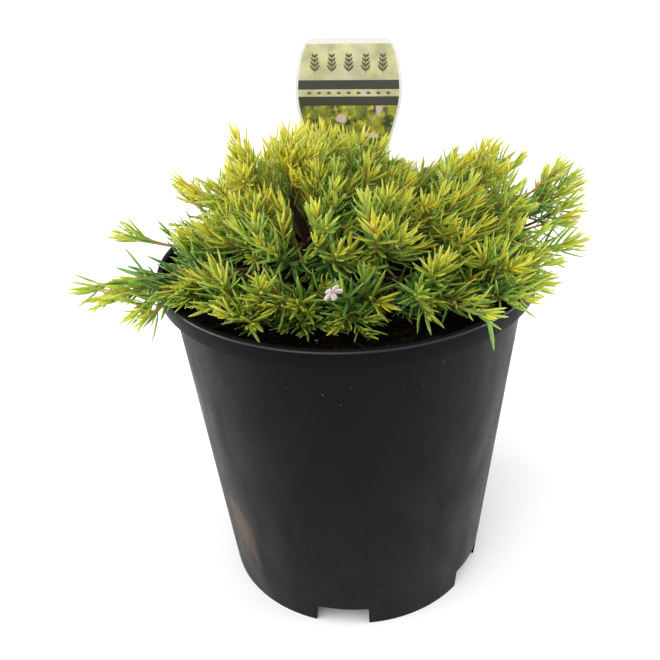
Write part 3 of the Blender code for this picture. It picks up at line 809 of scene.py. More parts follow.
# %% The limbs' sizes
STEM_FOOT = Vector((-0.0085, 0.0010, SOIL_TOP + SOIL_CROWN + GAP))
STEM_TAPER = (
    (0.0052, 0.0), (0.0040, 0.0020), (0.0032, 0.0055), (0.0029, 0.0120), (0.0023, 0.0220), (0.0015, 0.0330),
)
STEM_UPRIGHT = 0.0020
STEM_TOP = 0.0330
STEM_LEAN = Vector((-0.0092, -0.0010, 0))
STEM_BEND = 1.35
LEAST_CLIMB = 0.30
EXTRA_CLIMB = 0.20
FIRST_HANDLE = 0.36
LAST_HANDLE = 0.32
LAST_LEAF_SHARE = 0.85
SEAT_STEP = 0.00005
ROUND_END_POINTS = 12
BOUGH_ROOT = 0.0012
BOUGH_TIP = 0.0009
BOUGH_SHARE = 0.30
BOUGH_RINGS = 5
STEM_PIECES = 4
MEASURE_POINTS = 25
COARSE_LEAF = 0.0165
SHORTEST_WITH_BOUGH = 0.056
UP = Vector((0, 0, 1))
# Bearing from the right-hand side, reach and height in millimetres, rise of the tip in degrees
LOW_LIMBS = (
    (-164, 98, 137, -5), (-153, 85, 131, -25), (-135, 70, 139, 8), (-108, 57, 142, 20),
    (-76, 55, 142, 20), (-49, 67, 139, 8), (-27, 79, 139, 5), (-10, 86, 146, 20), (4, 89, 153, 28),
    (28, 84, 151, 33), (57, 80, 149, 33), (121, 80, 149, 33), (146, 86, 149, 28), (171, 91, 142, 12),
)
MIDDLE_LIMBS = (
    (174, 62, 161, 12), (-150, 52, 157, 40), (-122, 47, 159, 45), (-92, 46, 160, 45),
    (-60, 47, 161, 45), (-27, 56, 160, 45), (2, 86, 162, 40), (16, 58, 171, 70),
    (42, 48, 164, 50), (75, 41, 163, 55), (128, 52, 164, 55),
)
TOP_LIMBS = (
    (168, 40, 182, 70), (178, 22, 182, 78), (66, 22, 180, 70), (-18, 25, 172, 65), (-93, 24, 170, 60),
)
LOW_ROOTS = (0.0035, 0.0107, 0.0071)
MIDDLE_ROOTS = (0.0145, 0.0215, 0.0165, 0.0190)
TOP_ROOTS = (0.0285, 0.0330, 0.0250, 0.0265, 0.0240)
TIERS = {
    "low": (LOW_LIMBS, LOW_ROOTS), "middle": (MIDDLE_LIMBS, MIDDLE_ROOTS), "top": (TOP_LIMBS, TOP_ROOTS),
}


# %% The main stem's line, and a limb's seat on it
def polyline_distance(point, line):
    """The shortest distance from a point to a line of points."""
    best = math.inf
    for a, b in zip(line, line[1:]):
        run = b - a
        share = max(0.0, min(1.0, (point - a).dot(run) / run.length_squared))
        best = min(best, (point - a - run * share).length)
    return best


def stem_axis(height):
    """The middle of the main stem at a height above its foot."""
    share = max(0, height - STEM_UPRIGHT) / (STEM_TOP - STEM_UPRIGHT)
    return STEM_FOOT + STEM_LEAN * share**STEM_BEND + UP * height


def stem_radius(height):
    """The main stem's radius at a height above its foot."""
    return float(np.interp(height, [h for _, h in STEM_TAPER], [r for r, _ in STEM_TAPER]))


TRUNK = [stem_axis(height) for _, height in STEM_TAPER]


def seat(foot, outward, leaving, radius):
    """The first place on the way out of the main stem where a limb's round end clears its skin."""
    side = leaving.cross(UP).normalized() * radius
    end = [Quaternion(leaving, math.tau * i / ROUND_END_POINTS) @ side for i in range(ROUND_END_POINTS)]
    start = foot

    def clearance(corner):
        skin = stem_radius(start.z + corner.z - STEM_FOOT.z)
        return polyline_distance(start + corner, TRUNK) - skin

    while min(clearance(corner) for corner in end) < GAP:
        start = start + outward * SEAT_STEP
    return start


# %% The curve of one limb
def tilted(outward, slope):
    """A level direction, tilted up by a slope."""
    return (outward + UP * slope).normalized()


def limb_controls(bearing, reach, height, rise, root, has_bough):
    """The four control points of a limb's line, from beside the main stem to where its last leaf begins."""
    leaf_tip = Vector((math.cos(bearing), math.sin(bearing), 0)) * reach + UP * height
    foot = stem_axis(root)
    outward = (leaf_tip - foot) * Vector((1, 1, 0))
    distance = outward.length
    outward.normalize()
    ending = tilted(outward, math.tan(rise))
    tip = leaf_tip - ending * COARSE_LEAF * LAST_LEAF_SHARE
    if root >= STEM_TOP:
        leaving = (STEM_LEAN * STEM_BEND / STEM_TOP + UP).normalized()
        start = foot + leaving * 1.5 * GAP
    else:
        leaving = tilted(outward, max(LEAST_CLIMB, (tip.z - foot.z) / distance + EXTRA_CLIMB))
        start = seat(foot, outward, leaving, BOUGH_ROOT if has_bough else BOUGH_TIP)
    length = (tip - start).length
    return start, start + leaving * length * FIRST_HANDLE, tip - ending * length * LAST_HANDLE, tip


def on_curve(controls, share):
    """The place at a share of a curve with four control points."""
    rest = 1 - share
    weights = (rest**3, 3 * rest**2 * share, 3 * rest * share**2, share**3)
    return sum((point * weight for point, weight in zip(controls, weights)), Vector((0, 0, 0)))


def spread(controls, start, end, count):
    """Some places along a curve, from one share of it to another."""
    return [on_curve(controls, start + (end - start) * i / (count - 1)) for i in range(count)]


def line_length(line):
    """The length of a line of points."""
    return sum((b - a).length for a, b in zip(line, line[1:]))


print("main stem", round(STEM_TOP * 1000), "mm high")

# %% Every limb: its curve, its bough and its leafy stem
limbs = {}
for tier, (rows, roots) in TIERS.items():
    for number, (bearing, reach, height, rise) in enumerate(rows):
        root = roots[number % len(roots)]
        has_bough = reach / 1000 >= SHORTEST_WITH_BOUGH
        controls = limb_controls(
            math.radians(bearing), reach / 1000, height / 1000, math.radians(rise), root, has_bough
        )
        bough, leafy_from = [], 0.0
        if has_bough:
            length = line_length(spread(controls, 0, 1, MEASURE_POINTS))
            bough = spread(controls, 0, BOUGH_SHARE, BOUGH_RINGS)
            leafy_from = BOUGH_SHARE + 1.4 * GAP / length
        stem = spread(controls, leafy_from, 1, STEM_PIECES + 1)
        name = f"{tier}_{number + 1:02d}"
        limbs[name] = {
            "name": name, "tier": tier, "reach": reach / 1000, "height": height / 1000,
            "controls": controls, "bough": bough, "stem": stem, "leafy_from": leafy_from,
        }
print("limbs", len(limbs), "with boughs", sum(bool(limb["bough"]) for limb in limbs.values()))

# %% [markdown]
# ## Bark
# Old wood on this shrub is thin, dark and finely ridged, with a knob wherever a leaf or a twig was shed.
# That is a matter of tenths of a millimetre, so it is built into the mesh: each limb is a tube of many
# short rings, and every point of a ring is pushed in or out by stretched noise along the limb. The ends
# of a bough are drawn a little further than the solid's, so that they sink into the stem and the shoot
# that they join.

# %% Tubes with bark on them
GRAIN_TURN = 3.1
GRAIN_RUN = 260
KNOB_TURN = 1.2
KNOB_RUN = 420
KNOB_FROM = 0.25


def frame_along(line):
    """For each point of a line: the point, its direction, and two directions across it that don't twist."""
    frames = []
    across = None
    for i, point in enumerate(line):
        ahead = (line[min(i + 1, len(line) - 1)] - line[max(i - 1, 0)]).normalized()
        if across is None:
            across = ahead.orthogonal().normalized()
        across = (across - ahead * across.dot(ahead)).normalized()
        frames.append((point, ahead, across, ahead.cross(across)))
    return frames


def tube(line, radii, sides, ridges=0.0, knobs=0.0):
    """Points and faces of a closed tube; ridges and knobs are the depth of its relief in metres."""
    points, faces = [], []
    run = 0.0
    for i, (centre, ahead, across, other) in enumerate(frame_along(line)):
        run += (centre - line[i - 1]).length if i else 0
        for side in range(sides):
            turn = math.tau * side / sides
            out = across * math.cos(turn) + other * math.sin(turn)
            radius = radii[i]
            if ridges:
                spot = (out.x * GRAIN_TURN, out.y * GRAIN_TURN, out.z * GRAIN_TURN + run * GRAIN_RUN)
                grain = noise.noise(Vector(spot))
                bump = noise.noise(Vector((out.x * KNOB_TURN, out.y * KNOB_TURN, run * KNOB_RUN)))
                knob = max(0, bump - KNOB_FROM)
                radius += ridges * grain + knobs * knob
            points.append(centre + out * radius)
    for i in range(len(line) - 1):
        for side in range(sides):
            after = (side + 1) % sides
            a, b = i * sides, (i + 1) * sides
            faces.append((a + side, a + after, b + after, b + side))
    faces.append(tuple(reversed(range(sides))))
    faces.append(tuple(range((len(line) - 1) * sides, len(line) * sides)))
    return points, faces


def joined(name, parts, smooth=True):
    """One mesh from several (points, faces) parts."""
    points, faces = [], []
    for part_points, part_faces in parts:
        start = len(points)
        points += part_points
        faces += [tuple(start + corner for corner in face) for face in part_faces]
    return mesh_of(name, points, faces, smooth)


# %% The main stem and the boughs
OLD_RIDGES = 0.00022
OLD_KNOBS = 0.00050
BOUGH_RIDGES = 0.6 * OLD_RIDGES
BOUGH_KNOBS = 0.8 * OLD_KNOBS
STEM_SIDES = 40
BOUGH_SIDES = 18
FLARE = 0.10
FLARE_HEIGHT = 0.002
RING_STEP = 0.00035
SINK = 0.0012

heights = np.arange(-GAP, STEM_TOP + GAP, RING_STEP)
stem_line = [stem_axis(height) for height in heights]
stem_radii = [stem_radius(height) * (1 + FLARE * math.exp(-height / FLARE_HEIGHT)) for height in heights]
stem_mesh = joined("main_stem_bark", [tube(stem_line, stem_radii, STEM_SIDES, OLD_RIDGES, OLD_KNOBS)])

bough_parts = []
for limb in limbs.values():
    if not limb["bough"]:
        continue
    length = line_length(limb["bough"])
    count = int(length / RING_STEP)
    line = spread(limb["controls"], 0, limb["leafy_from"], count)
    line.insert(0, line[0] - (line[1] - line[0]).normalized() * SINK)
    radii = np.linspace(BOUGH_ROOT, BOUGH_TIP, len(line))
    bough_parts.append(tube(line, radii, BOUGH_SIDES, BOUGH_RIDGES, BOUGH_KNOBS))
print("main stem rings", len(stem_line), "bough tubes", len(bough_parts))

# %% The bark's finish
old_bark = finish("old_bark", screen(50, 36, 30), 0.85, Specular_IOR_Level=0.2)
bark_tone = between(old_bark, clouds(old_bark, 700, 5.0, (1, 1, 0.35)), 0, 1)
set_on(old_bark, Base_Color=blend(old_bark, bark_tone, screen(34, 24, 20), screen(72, 52, 40)))
relief(old_bark, clouds(old_bark, 2400, 5.0), 0.0002)
put("main_stem_bark", stem_mesh, [old_bark], ["main_stem"])
put("bough_bark", joined("bough_bark", bough_parts), [old_bark], BOUGHS)
print("boughs dressed", len(BOUGHS))

# %% [markdown]
# ## Room to grow
# Each mass of leaves keeps to its own room: nearer to its own stem than to any other's, within its limb's
# reach, under the mound of the crown, and clear of the pot, the tag and the wood. The coarse twigs of the
# solids stop where that room stops, so the fine shoots ask the same question. Distances to many short
# lines at once are quick with arrays of numbers, and here a fine shoot may lean a few millimetres into
# its neighbour's room, as living shoots do.

# %% Distances to many short lines at once
def short_lines(*lines):
    """The straight pieces of some lines, as an array."""
    return np.array([(a, b) for line in lines for a, b in zip(line, line[1:])], float).reshape(-1, 2, 3)


def distances(points, pieces):
    """The distance from each point to the nearest of some straight pieces."""
    start, run = pieces[:, 0], pieces[:, 1] - pieces[:, 0]
    away = points[:, None] - start
    share = np.clip((away * run).sum(2) / (run * run).sum(1), 0, 1)
    return np.linalg.norm(away - share[..., None] * run, axis=2).min(1)


# %% Clear of the pot and the tag
POT_MARGIN = 0.0012
SKIRT_RISE = 0.012
TAG_ROOM = 0.0018
INTO_TAG = np.array(tag_matrix().inverted())


def clear_of_pot(points):
    """For each point, whether it is clear of the wall, the rim and the mix."""
    radius = np.hypot(points[:, 0], points[:, 1])
    height = points[:, 2]
    in_band = height > band_foot - POT_MARGIN
    outer = np.where(in_band, RIM_RADIUS, wall_radius(height))
    inner = np.where(in_band, WALL_TOP_RADIUS - WALL, outer - WALL)
    skirt = SOIL_TOP + SOIL_CROWN + SKIRT_RISE * radius / RIM_RADIUS
    inside = (radius < inner - POT_MARGIN) & (height > skirt + POT_MARGIN)
    return (height > POT_HEIGHT + POT_MARGIN) | (radius > outer + POT_MARGIN) | inside


def clear_of_tag(points):
    """For each point, whether it is clear of a flat block round the tag."""
    local = points @ INTO_TAG[:3, :3].T + INTO_TAG[:3, 3]
    beside = np.abs(local[:, 0]) > TAG_SIDE[1][0] + TAG_ROOM
    above_or_below = (local[:, 1] <= -TAG_LENGTH) | (local[:, 1] >= TAG_ROOM)
    return beside | above_or_below | (np.abs(local[:, 2]) > TAG_ROOM)


# %% Is there room at these points?
SPACE_MARGIN = 0.0009
LIMB_MARGIN = 0.0006
TIP_ROOM = 0.002
HEADROOM = 0.007
MOUND_SLOPE = 0.5
LEAF_OUTREACH = 0.3
SAMPLE_STEP = 0.0024

all_boughs = short_lines(*[limb["bough"] for limb in limbs.values() if limb["bough"]])
trunk_pieces = short_lines(TRUNK)
for name, limb in limbs.items():
    limb["own"] = short_lines(limb["stem"])
    limb["others"] = short_lines(*[other["stem"] for key, other in limbs.items() if key != name])


def has_room(limb, points, lean_over=0.0, leaf_room=0.0):
    """For each point, whether it is in the limb's room, or up to lean_over past a neighbour's border."""
    points = np.asarray(points, float)
    radius = np.hypot(points[:, 0], points[:, 1])
    mound = MOUND_SLOPE * np.maximum(0, RIM_RADIUS - radius)
    held = radius <= limb["reach"] + TIP_ROOM + LEAF_OUTREACH * leaf_room
    held &= points[:, 2] <= limb["height"] + HEADROOM + mound + leaf_room
    held &= clear_of_pot(points) & clear_of_tag(points)
    skin = np.interp(points[:, 2] - STEM_FOOT.z, [h for _, h in STEM_TAPER], [r for r, _ in STEM_TAPER])
    held &= distances(points, trunk_pieces) - skin >= LIMB_MARGIN
    held &= distances(points, all_boughs) >= LIMB_MARGIN + BOUGH_ROOT
    border = distances(points, limb["others"]) - distances(points, limb["own"])
    return held & (border >= SPACE_MARGIN - lean_over)


def line_has_room(limb, start, end, lean_over=0.0):
    """Whether a straight shoot has room at every sample along it."""
    count = max(2, math.ceil((end - start).length / SAMPLE_STEP) + 1)
    points = [start.lerp(end, i / (count - 1)) for i in range(count)]
    return bool(has_room(limb, points, lean_over).all())


print("straight pieces to keep clear of", len(all_boughs) + len(trunk_pieces))

# %% [markdown]
# ## Shoots
# The rule of the solids is a gardener's: side shoots leave a stem one after another, each turned by the
# golden angle from the last, at about 46 degrees, lifted a little to the light, and a shoot that has no
# room tries the next turn and grows shorter. The first pass repeats the solids' own twigs from the same
# seeds. A second pass grows finer shoots on each stem and on each of those twigs by the same rule.

# %% The seeded rule
GOLDEN_ANGLE = math.radians(137.5)
TRIES = 14
TURNS_EACH_TRY = 3
SHORTER_EACH_TRY = 0.04
LENGTH_CHANCE = (0.9, 1.1)
TWIG_RADIUS = 0.0007
TWIG_SPACING = 0.0072
TWIG_COUNTS = (5, 7)
FIRST_TWIG = 0.06
TWIGGY_SHARE = 0.74
TWIG_LENGTH = 0.028
TWIG_SHORTEST = 0.008
TWIG_REACH_SHARE = 0.75
TWIG_ANGLE = math.radians(46)
TWIG_LIFT = 0.12
TWIG_LIFT_WHERE_STEEP = 0.30


def side_direction(axis, turn, angle, lift):
    """A direction that leaves an axis at an angle, turned round it, and lifted a little to the light."""
    side = axis.orthogonal().normalized()
    side.rotate(Quaternion(axis, turn))
    return (axis * math.cos(angle) + side * math.sin(angle) + UP * lift).normalized()


def along(line, share):
    """The place and the direction at a share of a line of points."""
    piece = min(int(share * (len(line) - 1)), len(line) - 2)
    a, b = line[piece], line[piece + 1]
    return a.lerp(b, share * (len(line) - 1) - piece), (b - a).normalized()


def side_shoots(rng, limb, line, count, first, over, room, longest, lean_over=0.0):
    """(start, end) of each side shoot that has room; room(share) is how long one may grow there."""
    phase = rng.uniform(0, math.tau)
    found = []
    for i in range(count):
        share = first + over * (i + 0.5) / count
        start, axis = along(line, share)
        full = min(longest, room(share)) * rng.uniform(*LENGTH_CHANCE)
        lift = TWIG_LIFT + TWIG_LIFT_WHERE_STEEP * max(0, axis.z)
        for attempt in range(TRIES):
            turn = phase + GOLDEN_ANGLE * (i + TURNS_EACH_TRY * attempt)
            direction = side_direction(axis, turn, TWIG_ANGLE, lift)
            end = start + direction * full * (1 - SHORTER_EACH_TRY * attempt)
            if line_has_room(limb, start + direction * 3 * TWIG_RADIUS, end, lean_over):
                found.append((start, end))
                break
    return found


def coarse_twigs(name, limb):
    """The twigs that the solid of this mass has."""
    stem = limb["stem"]
    length = line_length(stem)
    count = min(max(TWIG_COUNTS[0], round(length / TWIG_SPACING)), TWIG_COUNTS[1])
    rng = random.Random(f"{name}_foliage twigs")

    def room(share):
        return TWIG_SHORTEST + TWIG_REACH_SHARE * length * (1 - share)

    return side_shoots(rng, limb, stem, count, FIRST_TWIG, TWIGGY_SHARE, room, TWIG_LENGTH)


# %% [markdown]
# ## Where the sky shows
# Outside the rim the photograph shows long shoots one by one, with clear air between them, and a cleft in
# the front where the dark leader can be seen. Short lists of discs keep those openings: where white
# ground shows, where the rim shows on the left, along the cleft, and before the front flower. At the
# cleft and the flower only what stands in front is left out. The list of lone shoots does the opposite:
# it puts a shoot where the photograph shows one by itself.

# %% Openings and lone shoots
PHOTO_SIZE = 660
# Across, down and radius of each disc, in pixels of the photograph
SKY_DISCS = (
    (142, 186, 26), (205, 153, 19), (212, 125, 14), (262, 127, 9), (257, 143, 5), (175, 206, 9),
    (157, 228, 6), (122, 256, 11), (138, 262, 7), (104, 266, 14), (112, 319, 8), (425, 137, 15),
    (440, 136, 12), (466, 142, 7), (520, 138, 11), (537, 151, 9), (534, 166, 8), (529, 184, 6),
    (533, 223, 7), (560, 129, 18), (592, 150, 13), (590, 198, 6), (580, 274, 12), (85, 262, 16),
    (187, 171, 6), (200, 172, 7), (213, 172, 6), (221, 160, 4), (205, 192, 3.5), (215, 192, 3.5),
    (196, 212, 6), (205, 207, 4), (166, 212, 8), (151, 214, 8), (141, 221, 6), (151, 231, 7),
    (160, 239, 7), (162, 248, 3), (273, 128, 6), (400, 144, 12), (413, 151, 6), (430, 156, 7),
    (456, 138, 8), (517, 181, 5), (528, 191, 5), (527, 226, 6), (556, 232, 4), (538, 217, 4),
    (185, 196, 3), (224, 150, 4), (252, 130, 4), (128, 304, 4), (144, 302, 3), (114, 308, 5),
    (143, 262, 6), (153, 258, 4), (146, 241, 3), (477, 128, 5), (526, 159, 4), (525, 171, 4),
)
RIM_DISCS = ((165, 257, 5.5), (160, 268, 5), (169, 248, 4.5))
CLEFT_DISCS = (
    (287, 178, 5), (291, 190, 5.5), (296, 203, 6), (300, 216, 7), (302, 230, 8), (304, 242, 8),
    (231, 247, 5),
)
CLEFT_FRONT = -0.002
FRONT_BLOOM = (331, 293, 6)
BLOOM_DEPTH = -0.047
# Limb, where on its stem the shoot leaves, then bearing, reach and height of the shoot's end in millimetres
LONE_SHOOTS = (
    ("middle_01", 0.55, 175, 57, 163), ("middle_01", 0.50, 178, 54, 157), ("top_01", 0.50, 168, 38, 178),
    ("top_01", 0.45, 171, 38, 171), ("top_02", 0.35, 172, 20, 179), ("top_02", 0.40, 146, 17, 178),
    ("middle_09", 0.50, 36, 52, 160), ("middle_08", 0.35, 17, 56, 167), ("middle_08", 0.40, 16, 61, 164),
    ("middle_08", 0.45, 17, 67, 161), ("middle_07", 0.50, 4, 77, 163), ("middle_07", 0.60, 2, 81, 157),
    ("middle_07", 0.55, 3, 81, 160),
    ("low_09", 0.45, 0, 79, 147), ("low_08", 0.50, -8, 80, 141), ("low_07", 0.55, -20, 72, 140),
    ("low_07", 0.45, -30, 72, 138), ("low_07", 0.40, -39, 72, 138), ("low_06", 0.60, -53, 70, 139),
    ("low_14", 0.30, 175, 79, 142), ("low_01", 0.60, -162, 86, 134), ("low_01", 0.45, -157, 77, 143),
    ("low_01", 0.50, -159, 82, 137), ("low_02", 0.45, -155, 79, 134), ("low_02", 0.55, -151, 76, 133),
)
camera_turn = np.array(camera.matrix_world)[:3, :3]
print("discs of sky", len(SKY_DISCS), "lone shoots", len(LONE_SHOOTS))


# %% Is a place left open?
def in_photo(points):
    """Where points round the pot's axis fall in the photograph, across and down."""
    seen = (np.asarray(points, float) - CAMERA_PLACE) @ camera_turn
    scale = PHOTO_SIZE * CAMERA_LENS / CAMERA_SENSOR
    across = PHOTO_SIZE / 2 + scale * seen[:, 0] / -seen[:, 2]
    down = PHOTO_SIZE / 2 - scale * seen[:, 1] / -seen[:, 2]
    return np.stack([across, down], axis=1)


def in_discs(places, discs):
    """For each place in the photograph, whether a disc covers it."""
    centres = np.array(discs, float)
    away = np.linalg.norm(places[:, None] - centres[:, :2], axis=2)
    return (away < centres[:, 2]).any(1)


def left_open(points):
    """For each point, whether an opening of the crown is kept there."""
    points = np.asarray(points, float)
    places = in_photo(points)
    before_leader = in_discs(places, CLEFT_DISCS) & (points[:, 1] < CLEFT_FRONT)
    before_bloom = in_discs(places, [FRONT_BLOOM]) & (points[:, 1] < BLOOM_DEPTH)
    return in_discs(places, SKY_DISCS + RIM_DISCS) | before_leader | before_bloom


# %% Rules for the fine and the lone shoots
OUTSIDE_THIN = {
    "low_14": 0.050, "low_01": 0.060, "low_02": 0.060, "low_07": 0.062, "low_08": 0.062, "low_09": 0.062,
}
LEAN_OVER = 0.0040
# How close fine shoots stand, where they start, how far they go on, and how long they grow
FINE_ON_STEM = {"spacing": 0.0065, "first": 0.10, "over": 0.84, "shortest": 0.012, "share": 0.25}
FINE_ON_TWIG = {"spacing": 0.0110, "first": 0.15, "over": 0.55, "shortest": 0.009, "share": 0.45}
FINE_LENGTH = 0.020
STEM_POINTS = 12
TIP_GROWTH = 0.0060
STEM_TIP_GROWTH = 0.0068
LONE_TIP_GROWTH = 0.0012
TUFT_REACH = 0.006
TESTED_SHARES = (0.4, 0.55, 0.7, 0.85, 1.0)
BOW = 0.10
LONE_BOW = 0.5 * BOW
SHOOT_POINTS = 8


def bowed(start, end, bow):
    """A shoot's line: it leaves lower than the straight way and turns up to the light."""
    middle = (start + end) / 2 - UP * bow * (end - start).length
    shares = [i / (SHOOT_POINTS - 1) for i in range(SHOOT_POINTS)]
    return [start * (1 - s) ** 2 + middle * 2 * s * (1 - s) + end * s**2 for s in shares]


def grown_on(line, length):
    """A line carried on past its end."""
    return [*line, line[-1] + (line[-1] - line[-2]).normalized() * length]


def longer(limb, start, end):
    """The end of a shoot, grown on past the solid's twig where there is room."""
    further = end + (end - start).normalized() * TIP_GROWTH
    return further if has_room(limb, [further], LEAN_OVER)[0] else end


def kept_shoots(name, found):
    """The shoots whose tuft leaves the openings free, and none outside the rim where the limb is thin."""
    kept = []
    for start, end in found:
        tuft = end + (end - start).normalized() * TUFT_REACH
        tested = [start.lerp(tuft, share) for share in TESTED_SHARES]
        outside = math.hypot(start.x, start.y) > OUTSIDE_THIN.get(name, math.inf)
        if not outside and not left_open(tested).any():
            kept.append((start, end))
    return kept


def lone_shoots(name, stem):
    """The shoots that the photograph shows by themselves, from a place on this limb's stem."""
    for limb_name, share, bearing, reach, height in LONE_SHOOTS:
        if limb_name == name:
            turn = math.radians(bearing)
            end = Vector((math.cos(turn) * reach, math.sin(turn) * reach, height)) / 1000
            yield along(stem, share)[0], end


def fine_shoots(rng, limb, line, rule):
    """The fine side shoots of one line, by a rule for where they stand and how long they grow."""
    length = line_length(line)

    def room(share):
        return rule["shortest"] + rule["share"] * length * (1 - share)

    count = round(length / rule["spacing"])
    return side_shoots(rng, limb, line, count, rule["first"], rule["over"], room, FINE_LENGTH, LEAN_OVER)


# %% Grow every limb's shoots
shoots = []
for name, limb in limbs.items():
    rng = random.Random(f"{name} fine shoots")
    stem = spread(limb["controls"], limb["leafy_from"], 1, STEM_POINTS)
    twigs = kept_shoots(name, coarse_twigs(name, limb))
    twig_lines = [bowed(start, longer(limb, start, end), BOW) for start, end in twigs]
    fine = fine_shoots(rng, limb, stem, FINE_ON_STEM)
    for line in twig_lines:
        fine += fine_shoots(rng, limb, line, FINE_ON_TWIG)
    lines = {
        "stem": [grown_on(stem, STEM_TIP_GROWTH)],
        "twig": twig_lines,
        "lone": [grown_on(bowed(*ends, LONE_BOW), LONE_TIP_GROWTH) for ends in lone_shoots(name, stem)],
        "fine": [bowed(start, end, BOW) for start, end in kept_shoots(name, fine)],
    }
    shoots += [{"limb": limb, "line": line, "kind": kind} for kind, some in lines.items() for line in some]
print("shoots", len(shoots), "twigs", sum(shoot["kind"] == "twig" for shoot in shoots))


def nearest_on_shoots(place):
    """The nearest point of any shoot to a place."""
    spots = [point for shoot in shoots for point in shoot["line"]]
    return min(spots, key=lambda point: (point - place).length)


# %% [markdown]
# ## Young wood
# The shoots themselves are thin: under two millimetres where they leave the bough, and half a millimetre
# to a millimetre at the tip. This year's growth is orange-brown and last year's is a duller brown, so
# they are joined into two pieces by age, each with a plain finish. The one bare leader that shows in the
# cleft is old wood, and keeps the dark bark.

# %% Tubes for the shoots
WOOD = {
    "stem": (0.00090, 0.00042, 8), "twig": (0.00058, 0.00030, 6),
    "lone": (0.00060, 0.00032, 6), "fine": (0.00042, 0.00024, 5),
}
LEADER = "top_02"
LEADER_RADII = (0.00115, 0.00075)
wood_parts = {kind: [] for kind in (*WOOD, "leader")}
for shoot in shoots:
    thick, thin, sides = WOOD[shoot["kind"]]
    line = shoot["line"]
    if shoot["kind"] == "stem":
        line = [line[0] - (line[1] - line[0]).normalized() * SINK, *line]
    is_leader = shoot["kind"] == "stem" and shoot["limb"]["name"] == LEADER
    if is_leader:
        thick, thin = LEADER_RADII
    radii = np.linspace(thick, thin, len(line))
    wood_parts["leader" if is_leader else shoot["kind"]].append(tube(line, radii, sides))
print("tubes", {kind: len(parts) for kind, parts in wood_parts.items()})

# %% Finishes for the young wood
brown_wood = finish("brown_wood", screen(120, 84, 50), 0.75, Specular_IOR_Level=0.3)
brown_tone = blend(brown_wood, clouds(brown_wood, 500, 4.0), screen(92, 62, 40), screen(152, 108, 62))
set_on(brown_wood, Base_Color=brown_tone)
young_wood = finish("young_wood", screen(176, 122, 64), 0.6, Specular_IOR_Level=0.35)
young_tone = blend(young_wood, clouds(young_wood, 260, 3.0), screen(170, 104, 58), screen(172, 150, 70))
set_on(young_wood, Base_Color=young_tone)
put("leafy_stems", joined("leafy_stems", wood_parts["stem"]), [brown_wood], MASSES)
put("bare_leader", joined("bare_leader", wood_parts["leader"]), [old_bark], MASSES)
young_parts = wood_parts["twig"] + wood_parts["lone"] + wood_parts["fine"]
put("young_twigs", joined("young_twigs", young_parts), [young_wood], MASSES)

# %% [markdown]
# ## Leaves
# A diosma leaf is a fleshy needle about ten millimetres long and a little over one wide: widest below the
# middle, pointed, with a groove along the top and a keel below. Four points round each of four stations
# and one at each end give that outline in thirty-two triangles. Leaves stand close round a shoot, each
# turned by the golden angle from the last: short and nearly upright in the tuft at the tip, longer and
# more spread lower down.

# %% One leaf
LEAF_LENGTH = 0.0100
LEAF_WIDTH = 0.00130
LEAF_THICK = 0.00050
# Along the leaf, half width and thickness as shares of the leaf's own
STATIONS = ((0.06, 0.32, 0.6), (0.32, 0.50, 1.0), (0.66, 0.43, 0.9), (0.88, 0.22, 0.5))
GROOVE = 0.10
TIP_THICKNESS = 0.1

leaf_points = [(0, 0, 0)]
for share, half, thick in STATIONS:
    leaf_points += [(0, half, share), (GROOVE * thick, 0, share), (0, -half, share), (thick, 0, share)]
leaf_points.append((TIP_THICKNESS, 0, 1))
leaf_faces = [(0, 1 + i, 1 + (i + 1) % 4) for i in range(4)]
for ring in range(len(STATIONS) - 1):
    for i in range(4):
        a, b = 1 + 4 * ring, 5 + 4 * ring
        leaf_faces.append((a + i, b + i, b + (i + 1) % 4, a + (i + 1) % 4))
tip_number = len(leaf_points) - 1
leaf_faces += [(tip_number, tip_number - 4 + (i + 1) % 4, tip_number - 4 + i) for i in range(4)]
LEAF = np.array(leaf_points)
print("leaf points", len(LEAF), "faces", len(leaf_faces))

# %% [markdown]
# ## Where each leaf stands, and how golden it is
# The plant is golden where the sun reaches it and deep green inside. So each leaf gets a number from how
# high it is in the crown, how near its shoot's tip it is, how near the shoot is to a spot that stood in
# the sun, and a little chance that belongs to the whole shoot. The number picks one of seven plain leaf
# colours, and the leaves of each colour are joined into one piece.

# %% How leaves stand along a shoot
LEAF_SPACING = {"stem": 0.00108, "twig": 0.00102, "lone": 0.00115, "fine": 0.00100}
LEAF_SIZE = {
    "stem": 1.10, "twig": 1.00, "lone": 1.06, "fine": 0.92, "low": 1.10, "middle": 1.00, "top": 0.92,
}
LONG_LEAVED = {"low_01": 1.28, "low_02": 1.15, "low_14": 1.15}
TUFT = 0.0060
TUFT_CROWDING = 0.5
TUFT_LEAF = 0.62
LOWER_LEAF_GAIN = 0.38
FIRST_LEAF = 0.0002
AXIS_STEP = 0.0006
SPACING_CHANCE = (0.85, 1.15)
LEAF_CHANCE = (0.85, 1.12)
# Degrees from the shoot at its tip, how many more past the tuft, and how many more at the lower end
LEAF_ANGLES = (21, 25, 8)
LOWER_END = 0.02
ANGLE_CHANCE = (0.75, 1.25)
TURN_CHANCE = 0.12
LEAF_LIFT = 0.05
BARE = {"stem": 0.30, "twig": 0.06, "lone": 0.20, "fine": 0.05}
LEADER_BARE = 0.80


def unit(arrows):
    """Arrows of any length, made one long."""
    return arrows / np.linalg.norm(arrows, axis=1, keepdims=True)


